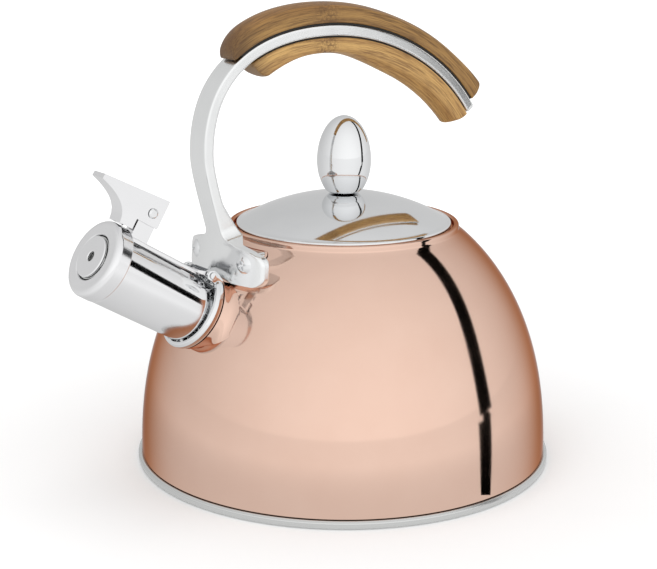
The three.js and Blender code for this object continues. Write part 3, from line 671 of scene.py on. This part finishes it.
def off_path(s, across, depth, bend=0.0):
    """Points beside the strap: s along it, depth inwards from its outer face, across it.
    bend, from 0 to 1, wraps them round the kettle's axis as the saddle is wrapped."""
    front = np.interp(s, travel, spine[:, 0])
    height = np.interp(s, travel, spine[:, 1])
    run = np.interp(s, travel, tangents[:, 0])
    rise = np.interp(s, travel, tangents[:, 1])
    before, beyond = np.minimum(s, 0), np.maximum(s - STRAP_LENGTH, 0)
    front = front + run * (before + beyond) + rise * depth
    height = height + rise * (before + beyond) - run * depth
    wrapped = np.sqrt(np.maximum(front ** 2 - across ** 2, 1))
    front = front * (1 - bend) + wrapped * bend
    return np.stack([-front, across + 0 * front, height], -1) * MM


def arc_at(height_mm):
    """The distance along the strap at which its front comes down to a height."""
    down = travel > FRONT_LEG
    return np.interp(-height_mm, -spine[down, 1], travel[down])


print(f"strap: {STRAP_LENGTH:.0f} mm along its outer face")

# %% [markdown]
# ## Strap and saddle
# One skin makes the strap and the saddle that spreads from its foot. At every step the section is
# a rounded rectangle whose half-width follows the outline of the ears, and it is wrapped round the
# kettle's axis once it becomes the saddle. Above the ears the bar thickens, as a forged foot does.


# %% Sections along the strap
def ribbon(s, half_width, thickness, corner, depth=0.0, bend=0.0, columns=27):
    """Rounded rectangles along the path: outer face, corner, side, corner, and back again.
    Half-width, thickness, corner, depth and bend may each change with s."""
    given = (s, half_width, thickness, corner, depth, bend)
    s, half_width, thickness, corner, depth, bend = np.broadcast_arrays(*given)
    turn = np.linspace(0, np.pi / 2, 6)
    flat, arc, pair = np.linspace(-1, 1, columns), 0 * turn, np.array([1, 1])
    sides = np.concatenate([flat, arc + 1, pair, arc + 1, flat[::-1], arc - 1, -pair, arc - 1])
    reach = np.concatenate([0 * flat, np.sin(turn), pair, np.cos(turn),
                            0 * flat, -np.sin(turn), -pair, -np.cos(turn)])
    level = np.concatenate([0 * flat, arc, [0.3, 0.7], arc + 1,
                            0 * flat + 1, arc + 1, [0.7, 0.3], arc])
    drop = np.concatenate([0 * flat, 1 - np.cos(turn), 0 * pair, np.sin(turn) - 1,
                           0 * flat, np.cos(turn) - 1, 0 * pair, 1 - np.sin(turn)])
    column = (slice(None), None)
    across = sides * (half_width - corner)[column] + reach * corner[column]
    inward = depth[column] + level * thickness[column] + drop * corner[column]
    return skin(off_path(s[column], across, inward, bend[column]), wrap_v=True, caps=True)


sample, _ = ribbon(np.array([50.0, 60.0]), STRAP_HALF, STRAP_THICK, 0.8)
print("points round one section of the strap:", len(sample) // 2)

# %% Ears, foot and rear tip
saddle_line = rounded([(STRAP_HALF, 130), (STRAP_HALF, 117.5), (15.5, 114.6), (22.5, 113.4),
                       (29.6, 111.0), (29.4, 98.0), (20.0, 98.0)], [0, 5, 5, 5, 8.5, 8.5, 0], steps=14)
still_falling = np.concatenate([[True], np.diff(saddle_line[:, 1]) < -1e-4])
saddle_line = saddle_line[still_falling]
tip_turn = np.linspace(0, np.pi / 2, 7)
tip_s = 0.2 + 2.4 * (1 - np.cos(tip_turn))
tip_half = STRAP_HALF - 2.4 * (1 - np.sin(tip_turn))
tip_thick = STRAP_THICK - 3.6 * (1 - np.sin(tip_turn))
bar_s = np.linspace(3.2, arc_at(130), 150)
strap_s = np.concatenate([tip_s, bar_s, arc_at(saddle_line[:, 1])])
strap_half = np.concatenate([tip_half, np.full_like(bar_s, STRAP_HALF), saddle_line[:, 0]])
height_here = np.interp(strap_s, travel, spine[:, 1])
in_front = strap_s > FRONT_LEG
swell = 4.6 * smooth((134 - height_here) / 20)
thin_ears = smooth((strap_half - 8.0) / 8)
foot_thick = (STRAP_THICK + swell) * (1 - thin_ears) + EAR_THICK * thin_ears
strap_thick = np.where(in_front, foot_thick, STRAP_THICK)
strap_thick[:len(tip_turn)] = tip_thick
strap_bend = smooth((126 - height_here) / 8) * in_front
strap_depth = np.zeros_like(strap_s)
strap_depth[:len(tip_turn)] = (STRAP_THICK - tip_thick) / 2
strap_round = np.minimum(0.8 + 0.5 * thin_ears, strap_thick / 2.2)
strap_skin = ribbon(strap_s, strap_half, strap_thick, strap_round, strap_depth, strap_bend)
build("strap_and_saddle", [strap_skin], "kettle", "polished_steel", strap_steel, "handle_strap")

# %% Spacer block behind the saddle
BLOCK_LOW, BLOCK_HIGH, BLOCK_FRONT, BLOCK_HALF_ANGLE = 101.4, 111.0, 67.0, math.radians(17.5)


def block_skin():
    """A profile between the dome and the saddle, turned through an angle, its two ends drawn in."""
    levels = np.linspace(BLOCK_LOW, BLOCK_HIGH, 12)
    back = np.stack([dome_radius(levels) + 0.3, levels], 1)
    front = [(BLOCK_FRONT + 0.3, BLOCK_HIGH), (BLOCK_FRONT, BLOCK_LOW)]
    outline = rounded(np.vstack([back, front]), [0.3] + [0] * 10 + [0.3, 0.8, 0.4], closed=True)
    angle = np.linspace(-1, 1, 41)
    angle = np.sign(angle) * BLOCK_HALF_ANGLE * np.abs(angle) ** 0.8
    inset = 0.25 * smooth((np.abs(angle) / BLOCK_HALF_ANGLE - 0.93) / 0.07)[:, None]
    middle = outline.mean(0)
    radius = outline[:, 0] * (1 - inset) + middle[0] * inset
    height = outline[:, 1] * (1 - inset) + middle[1] * inset
    x, y = -radius * np.cos(angle[:, None]), radius * np.sin(angle[:, None])
    return skin(np.stack([x, y, height], -1) * MM, wrap_v=True, caps=True)


build("saddle_block", [block_skin()], "kettle", "polished_steel", polished_steel, "handle_bracket")

# %% [markdown]
# ## Bamboo scales
# The grip is two scales screwed together through the strap. Each has flat sides, a small crease
# and a crowned face for the palm or the fingers. Its thickness is a function of the distance along
# the strap, and both ends are rounded over. A thin black sheet lies in each joint against the steel:
# painted shade standing in for the shadow in that narrow gap.

# %% Shape of a scale
GRIP_HALF = 6.6


def scale_skin(s, side, crown, sign, start, edge=1.1, count=36):
    """Sections of a scale: straight sides `side` high and a face crowned by a parabola.
    sign is +1 outside the strap and -1 inside it, start the depth at which the scale begins."""
    across = np.sin(np.linspace(np.pi / 2, -np.pi / 2, count))[None]
    beyond = np.clip((np.abs(across) * GRIP_HALF - (GRIP_HALF - edge)) / edge, 0, 1)
    roll = 1 - np.sqrt(1 - beyond ** 2)
    far = side[:, None] + crown[:, None] * (1 - across ** 2) - np.minimum(edge, side[:, None] / 2) * roll
    near = 0.35 * roll[:, ::-1] + 0 * far
    round_off = np.minimum(1, 0.72 + 0.28 * np.sqrt(np.clip(side / side.max() * 2, 0, 1)))[:, None]
    wide = np.hstack([across * GRIP_HALF * round_off, across[:, ::-1] * GRIP_HALF * round_off])
    high = np.hstack([far, near])
    points = off_path(s[:, None], wide, start - sign * high)
    grain = np.stack([s[:, None] * MM + 0 * wide, wide * MM, high * MM], -1)
    return skin(points, wrap_v=True, caps=True), grain.reshape(-1, 3)


def ends(s, first, last, reach_first, reach_last):
    """0 at both ends and 1 between them, rising as a quarter circle over each reach."""
    rise = np.clip((s - first) / reach_first, 0, 1)
    fall = np.clip((last - s) / reach_last, 0, 1)
    return np.sqrt(1 - (1 - rise) ** 2) * np.sqrt(1 - (1 - fall) ** 2)


def stations(first, last, reach_first, reach_last, count=110):
    """Distances that crowd together towards both ends, where a scale turns over."""
    near = first + reach_first * (1 - np.cos(np.linspace(0, np.pi / 2, 14)))
    far = last - reach_last * (1 - np.cos(np.linspace(np.pi / 2, 0, 14)))
    return np.concatenate([near, np.linspace(near[-1], far[0], count)[1:-1], far])


def front_to_s(front):
    """The distance along the strap at which it has come forward to a given distance."""
    rising = spine[:np.argmax(spine[:, 0])]
    return np.interp(front, rising[:, 0], travel[:len(rising)])


TOP_KNOTS = ([-80, -73, -60, -23, -5, 11, 24, 40, 50, 60, 66],
             [8.8, 8.2, 6.4, 5.9, 6.6, 7.0, 7.4, 7.6, 7.3, 6.4, 4.6])
LOW_KNOTS = ([-78, -28, -11, 8.5, 20, 31, 41, 52, 60], [6.8, 6.9, 6.7, 5.9, 5.9, 6.3, 7.6, 8.8, 9.4])
DEEP_KNOTS = ([-80, -68, -53, -27, -12, 0, 20], [3.2, 4.6, 4.9, 4.6, 3.0, 1.4, 1.2])


def curve_through(knots, where):
    """Knots joined by a line, then softened by averaging over neighbouring stations."""
    values = np.interp(where, *knots)
    for _ in range(30):
        values[1:-1] = (values[:-2] + 2 * values[1:-1] + values[2:]) / 4
    return values


print("thickest side of the top scale:", max(TOP_KNOTS[1]), "mm")

# %% Scales and seal
SEAM = 0.95
LOW_FACE = STRAP_THICK + 0.6
TOP_START, TOP_END, LOW_START, LOW_END = 4.9, 156.5, 0.5, 150.0
top_s = stations(TOP_START, TOP_END, 3.2, 12)
top_front = np.interp(top_s, travel, spine[:, 0])
top_shape = ends(top_s, TOP_START - 0.1, TOP_END + 0.2, 3.4, 13)
top_skin, top_grain = scale_skin(top_s, curve_through(TOP_KNOTS, top_front) * top_shape + 0.3,
                                 2.0 * top_shape, 1, -SEAM)
build("grip_scale_top", [top_skin], "kettle", "bamboo", bamboo_top, "grip_top",
      grain=top_grain, sharp=50)
low_s = stations(LOW_START, LOW_END, 4.0, 7)
low_front = np.interp(low_s, travel, spine[:, 0])
low_shape = ends(low_s, LOW_START - 0.1, LOW_END + 0.2, 4.2, 7.4)
low_skin, low_grain = scale_skin(low_s, curve_through(LOW_KNOTS, low_front) * low_shape + 0.3,
                                 curve_through(DEEP_KNOTS, low_front) * low_shape, -1, LOW_FACE)
build("grip_scale_low", [low_skin], "kettle", "bamboo", bamboo_low, "grip_bottom",
      grain=low_grain, sharp=50)
# painted shade: thin black sheets above and below the strap, in place of the shadow in those gaps
gap_shade_s = np.linspace(5.5, 153.0, 100)
gap_shade_skins = [ribbon(gap_shade_s, 6.1, SEAM - 0.1, 0.15, -SEAM + 0.05, columns=5),
              ribbon(gap_shade_s[gap_shade_s < 147.0], 6.1, 0.5, 0.12, STRAP_THICK + 0.05, columns=5)]
build("grip_gap_shade", gap_shade_skins, "kettle", "spring_steel", gap_shade_sheet)

# %% [markdown]
# ## Screws
# Pan-head screws with a cross recess hold the saddle. Two flatter ones clamp the scales through the
# strap, and sit 2 mm under the lower scale's face, inside the wood of the scale, which hides them.
# A head is a height over a disc: a dome that falls away to its rim, less a cross-shaped pocket.


# %% Screw heads
def screw_head(radius, rise, at, arm, slot, rings=44, steps=144):
    """height = rise * (1 - (r / radius)^2.6), less the pocket wherever |x| or |y| is in a slot."""
    share = np.linspace(0, 1, rings)
    angle = np.linspace(0, 2 * np.pi, steps, endpoint=False)[:, None]
    r = radius * share[None] + 0 * angle
    x, y = r * np.cos(angle), r * np.sin(angle)
    in_cross = (np.minimum(np.abs(x), np.abs(y)) < slot) & (np.maximum(np.abs(x), np.abs(y)) < arm)
    dome = rise * (1 - (r / radius) ** 2.6)
    pocket = np.where(in_cross, rise * 0.75 * (1 - r / (2.2 * arm)), 0)
    top = np.stack([x, y, 0.9 + dome - pocket], -1)
    skirt = np.stack([x[:, -1:] * [1.0, 0.97, 0.0], y[:, -1:] * [1.0, 0.97, 0.0],
                      0 * x[:, :3] + [0.25, 0.0, 0.0]], -1)
    return skin(in_row(np.concatenate([top, skirt], 1), at), wrap_u=True)


SCREW_SPREAD, SCREW_HEIGHT, SCREW_FACE = 19.5, 107.5, 71.9
for word, side in (("near", -1), ("far", 1)):
    lean = math.asin(SCREW_SPREAD / SCREW_FACE) * side
    outward = np.array([-math.cos(lean), math.sin(lean), 0.0])
    head_at = axes(outward * SCREW_FACE + [0, 0, SCREW_HEIGHT], outward, (0, 0.35, 1))
    shank = turned(rounded([(0, -9.2), (1.8, -8.8), (1.8, 0.4), (0, 0.4)], [0, 0.5, 0, 0]), head_at, 40)
    build(f"saddle_screw_{word}", [screw_head(4.3, 1.5, head_at, 2.1, 0.45), shank],
          "kettle", "polished_steel", polished_steel, f"bracket_screw_{word}", sharp=45)

# %% Grip screws
BOLT_SINK, BOLT_LENGTH = 2.0, 14.0
low_depth = curve_through(LOW_KNOTS, low_front)
for word, front in (("front", 30), ("rear", -34)):
    s = np.array([front_to_s(front)])
    face_depth = LOW_FACE + np.interp(front, low_front, low_depth)
    head, middle = (off_path(s, 0.0, depth)[0] / MM for depth in (face_depth - BOLT_SINK, 0.0))
    bolt_at = axes(head, head - middle)
    shank = turned([(0, -BOLT_LENGTH), (1.5, -BOLT_LENGTH), (1.5, 0.4), (0, 0.4)], bolt_at, 32)
    build(f"grip_bolt_{word}", [screw_head(3.0, 0.4, bolt_at, 1.6, 0.35), shank],
          "kettle", "polished_steel", polished_steel, f"grip_screw_{word}", sharp=45)

# %% [markdown]
# ## The lid
# The lid is a shallow cap of a sphere with its edge rolled under. The knob is a solid egg, turned
# and polished: half an ellipse above its widest ring and a longer, cut-off half below it.

# %% Lid and skirt
LID_SPHERE, LID_APEX = 99.9, 129.0


def lid_height(radius, inset=0.0):
    """Height of the sphere's skin above the base, at each radius, less an inset."""
    return LID_APEX - LID_SPHERE + np.sqrt((LID_SPHERE - inset) ** 2 - radius ** 2)


lid_radii = np.linspace(2.3, 48.8, 70)
lid_top = np.stack([lid_radii, lid_height(lid_radii)], 1)
lid_under = np.stack([lid_radii, lid_height(lid_radii, 1.0)], 1)[::-1]
lid_edge = rounded([lid_top[-1], (51.2, 115.7), (50.9, 113.5), (48.9, 113.6), lid_under[0]],
                   [0, 1.1, 0.9, 0.5, 0])[1:-1]
lid_profile = np.vstack([lid_top, lid_edge, lid_under])
build("lid_dome", [turned(lid_profile, steps=200, closed=True)],
      "lid", "polished_steel", polished_steel, "lid_cover")
skirt_profile = rounded([(45.8, 105), (46.8, 105), (46.8, 115.6), (45.8, 115.9)],
                        [0.3, 0.3, 0.2, 0.2], closed=True)
build("lid_inner_skirt", [turned(skirt_profile, steps=160, closed=True)],
      "lid", "satin_steel", satin_steel, "lid_skirt")

# %% Knob and its screw
KNOB_RADIUS, KNOB_MIDDLE, KNOB_TOP, KNOB_FOOT, KNOB_BORE = 12.8, 144.3, 165.6, 129.3, 2.3
swing = np.linspace(-0.84, np.pi / 2, 90)
half_height = np.where(swing < 0, 19.0, KNOB_TOP - KNOB_MIDDLE)
egg = np.stack([KNOB_RADIUS * np.cos(swing), KNOB_MIDDLE + half_height * np.sin(swing)], 1)
egg[-1, 0] = 0
egg_foot = rounded([(0, KNOB_FOOT + 2), (KNOB_BORE, KNOB_FOOT + 2), (KNOB_BORE, KNOB_FOOT),
                    (7.3, KNOB_FOOT), egg[0]], [0, 0, 0.2, 0.6, 0])[:-1]
build("egg_knob", [turned(np.vstack([egg_foot, egg]), steps=128)],
      "lid", "polished_steel", polished_steel, "lid_knob")
bolt_profile = rounded([(0, 122.6), (4.2, 122.6), (4.6, 123.4), (4.6, 124.7), (2.0, 124.9),
                        (2.0, 131.2), (0, 131.2)], [0, 0.4, 0.5, 0.2, 0.1, 0.1, 0])
build("knob_bolt", [turned(bolt_profile, steps=48)],
      "lid", "polished_steel", polished_steel, "knob_screw")
washer_profile = rounded([(2.3, 125.0), (7, 125.0), (7, 126.6), (2.3, 126.6)], 0.3, closed=True)
build("lid_washer", [turned(washer_profile, steps=64, closed=True)],
      "lid", "satin_steel", satin_steel, "knob_washer")

# %% [markdown]
# ## Studio
# Polished metal is only as good as what it mirrors. The kettle stands on a pale floor under even,
# soft light that is brightest in front of it, so the coat goes from pale there to deeper copper at
# its sides. The floor also glows more strongly away from the kettle: painted light that keeps the far
# floor white. One narrow black card stands upright beside it and a strip of the same card lies on the
# floor, both seen only in reflections: a studio uses such cards to draw crisp dark lines that show
# how smooth the polish is.

# %% Floor
FLOOR = 6.0
corners = np.array([[(-FLOOR, -FLOOR), (-FLOOR, FLOOR)], [(FLOOR, -FLOOR), (FLOOR, FLOOR)]])


def level_sheet(height):
    """A square skin at one height, as wide as the floor."""
    return skin(np.dstack([corners, np.full((2, 2), height)]))


def stage_piece(name, skins, material):
    """A studio surface: no part of the object, so it rides on nothing."""
    mesh = joined(name, skins)
    mesh.materials.append(material)
    item = bpy.data.objects.new(name, mesh)
    bpy.context.scene.collection.objects.link(item)
    return item


def mirror_only(item):
    """Leaves a studio surface to be seen in reflections and nowhere else."""
    item.visible_camera = item.visible_diffuse = item.visible_shadow = False


paper, paper_tree, paper_shader = finish("white paper", Roughness=0.9, Base_Color=linear("#F4F4F4"),
                                         Specular_IOR_Level=0.1, Emission_Color=(1, 1, 1, 1))
paper_at = add(paper_tree, "ShaderNodeTexCoord").outputs["Object"]
paper_far = add(paper_tree, "ShaderNodeVectorMath", {"operation": "LENGTH"}, {0: paper_at})
# painted light: the paper glows not at all within 0.12 m of the middle and up to strength 0.4 at 0.75 m,
# so the far floor reads white
painted_floor_glow = add(paper_tree, "ShaderNodeMapRange", {"From Min": 0.12, "From Max": 0.75, "To Max": 0.4},
                 {"Value": paper_far.outputs["Value"]})
feed(paper_tree, paper_shader, {"Emission Strength": painted_floor_glow.outputs[0]})
floor = stage_piece("studio_floor", [level_sheet(0.0)], paper)
floor.visible_glossy = False
print(f"floor: {2 * FLOOR:.0f} m wide")

# %% Black cards
CARD_HEART = np.array([0.006, -0.085, 0.055])
CARD_DISTANCE, CARD_HALF_ANGLE = 0.9, math.radians(4.9)
STRIP_START, STRIP_TURN = np.array([0.0165, -0.1068, 0.0012]), math.radians(-41.5)
STRIP_WAY = np.array([math.cos(STRIP_TURN), math.sin(STRIP_TURN), 0])
STRIP_SIDE = np.array([-math.sin(STRIP_TURN), math.cos(STRIP_TURN), 0])


def across_path(path, facing, half):
    """A ribbon: each point of the path moved both ways, square to the path and to `facing`."""
    along = np.gradient(path, axis=0)
    sideways = np.cross(along, facing)
    sideways *= half[:, None] / np.linalg.norm(sideways, axis=1, keepdims=True)
    return skin(np.stack([path - sideways, path + sideways], 1))


def floor_strip(run, shift, half):
    """A level ribbon along the strip's way: its half-width may change with the run."""
    path = STRIP_START + run[:, None] * STRIP_WAY + shift * STRIP_SIDE
    return across_path(path, np.tile((0.0, 0.0, 1.0), (len(run), 1)), half + 0 * run)


tilt = np.linspace(-3.4, 62, 60)
azimuth = np.radians(-40.6 + 0.0095 * tilt ** 2 + 0.00008 * tilt ** 3)
rise, reach = np.sin(np.radians(tilt)), np.cos(np.radians(tilt))
ray = np.stack([reach * np.cos(azimuth), reach * np.sin(azimuth), rise], 1)
card_half = np.full(len(tilt), CARD_DISTANCE * math.tan(CARD_HALF_ANGLE))
upright = across_path(CARD_HEART + ray * CARD_DISTANCE, ray, card_half)
near_run, far_run = np.linspace(0, 0.5, 40), np.linspace(0.5, 0.87, 10)
near_strip = floor_strip(near_run, 0.0, 0.0030 + 0.086 * near_run)
far_strip = floor_strip(far_run, 0.020, 0.034)
card_black = finish("black card", Roughness=1.0, Base_Color=linear("#050505"),
                    Specular_IOR_Level=0.0)[0]
mirror_only(stage_piece("black_card", [upright, near_strip, far_strip], card_black))
print("black cards:", len(tilt) + len(near_run) + len(far_run), "stations")

# %% [markdown]
# ## What the metal mirrors
# The white paper would make every underside glow, so reflections see a greyer sweep in its place.
# It is brightest in front of the kettle, darker behind, and darkest close to it, where the
# darkening is painted shade for the kettle's shadow on the floor.

# %% Grey sweep
BRIGHT_SIDE = (-0.34, -0.92, -0.12)
sweep = bpy.data.materials.new("grey sweep")
sweep.use_nodes = True
sweep_tree = sweep.node_tree
sweep_tree.nodes.clear()
sweep_at = add(sweep_tree, "ShaderNodeTexCoord").outputs["Object"]
heading = add(sweep_tree, "ShaderNodeVectorMath", {"operation": "NORMALIZE"}, {0: sweep_at})
sweep_side = add(sweep_tree, "ShaderNodeVectorMath", {"operation": "DOT_PRODUCT", 1: BRIGHT_SIDE},
                 {0: heading.outputs[0]})
sweep_level = add(sweep_tree, "ShaderNodeMapRange",
                  {"From Min": -1.0, "From Max": 1.0, "To Min": 0.66, "To Max": 1.04},
                  {"Value": sweep_side.outputs["Value"]})
distance = add(sweep_tree, "ShaderNodeVectorMath", {"operation": "LENGTH"}, {0: sweep_at})
# painted shade: the sweep dims close to the kettle, in place of its shadow on the floor
near_shade = add(sweep_tree, "ShaderNodeMapRange",
                 {"From Min": 0.1, "From Max": 0.3, "To Min": 0.8, "To Max": 1.0,
                  "interpolation_type": "SMOOTHSTEP"}, {"Value": distance.outputs["Value"]})
both = add(sweep_tree, "ShaderNodeMath", {"operation": "MULTIPLY"},
           {0: sweep_level.outputs[0], 1: near_shade.outputs[0]})
sweep_glow = add(sweep_tree, "ShaderNodeEmission", {}, {"Strength": both.outputs[0]})
add(sweep_tree, "ShaderNodeOutputMaterial", {}, {"Surface": sweep_glow.outputs[0]})
mirror_only(stage_piece("grey_sweep", [level_sheet(-0.0005)], sweep))
print("bright side of the studio:", BRIGHT_SIDE)

# %% World and softbox
scene = bpy.context.scene
world = bpy.data.worlds.new("soft studio")
world.use_nodes = True
sky = world.node_tree
sky.nodes.clear()
scene.world = world
toward = add(sky, "ShaderNodeTexCoord").outputs["Generated"]
facing = add(sky, "ShaderNodeVectorMath", {"operation": "DOT_PRODUCT", 1: BRIGHT_SIDE}, {0: toward})
strength = add(sky, "ShaderNodeMapRange",
               {"From Min": -1.0, "From Max": 1.0, "To Min": 0.62, "To Max": 1.16},
               {"Value": facing.outputs["Value"]})
glow = add(sky, "ShaderNodeBackground", {"Color": (1, 1, 1, 1)}, {"Strength": strength.outputs[0]})
add(sky, "ShaderNodeOutputWorld", {}, {"Surface": glow.outputs[0]})


SOFTBOX_AT, KETTLE_HEART = Vector((-0.3, -0.1, 2.2)), Vector((0, 0, 0.1))
lamp = bpy.data.lights.new("overhead_softbox", "AREA")
lamp.size, lamp.energy = 1.6, 15
softbox = bpy.data.objects.new("overhead_softbox", lamp)
scene.collection.objects.link(softbox)
softbox.location = SOFTBOX_AT
softbox.rotation_euler = (KETTLE_HEART - SOFTBOX_AT).to_track_quat("-Z", "Y").to_euler()
softbox.visible_glossy = False
print("softbox", round((KETTLE_HEART - SOFTBOX_AT).length, 2), "m away")

# %% [markdown]
# ## Camera
# The camera looks down a little and across the spout, from about three quarters of a metre. Its
# three directions come from an azimuth, an elevation and a very small roll.

# %% Camera
CAMERA_AT = Vector((-0.4345, -0.5752, 0.2732))
AZIMUTH, ELEVATION, ROLL = math.radians(-36.5), math.radians(14.73), math.radians(0.166)
level_right = Vector((math.cos(AZIMUTH), math.sin(AZIMUTH), 0))
level_forward = Vector((-math.sin(AZIMUTH), math.cos(AZIMUTH), 0))
forward = level_forward * math.cos(ELEVATION) - Vector((0, 0, 1)) * math.sin(ELEVATION)
level_up = level_right.cross(forward)
right = level_right * math.cos(ROLL) + level_up * math.sin(ROLL)
up = level_up * math.cos(ROLL) - level_right * math.sin(ROLL)
lens = bpy.data.cameras.new("camera")
lens.lens, lens.sensor_width, lens.sensor_fit = 84.93, 36, "HORIZONTAL"
camera = bpy.data.objects.new("camera", lens)
scene.collection.objects.link(camera)
turn = Matrix((right, up, -forward)).transposed()
camera.matrix_world = Matrix.Translation(CAMERA_AT) @ turn.to_4x4()
scene.camera = camera
scene.view_settings.view_transform = "Standard"
print("camera", round(CAMERA_AT.length, 2), "m from the middle of the base")
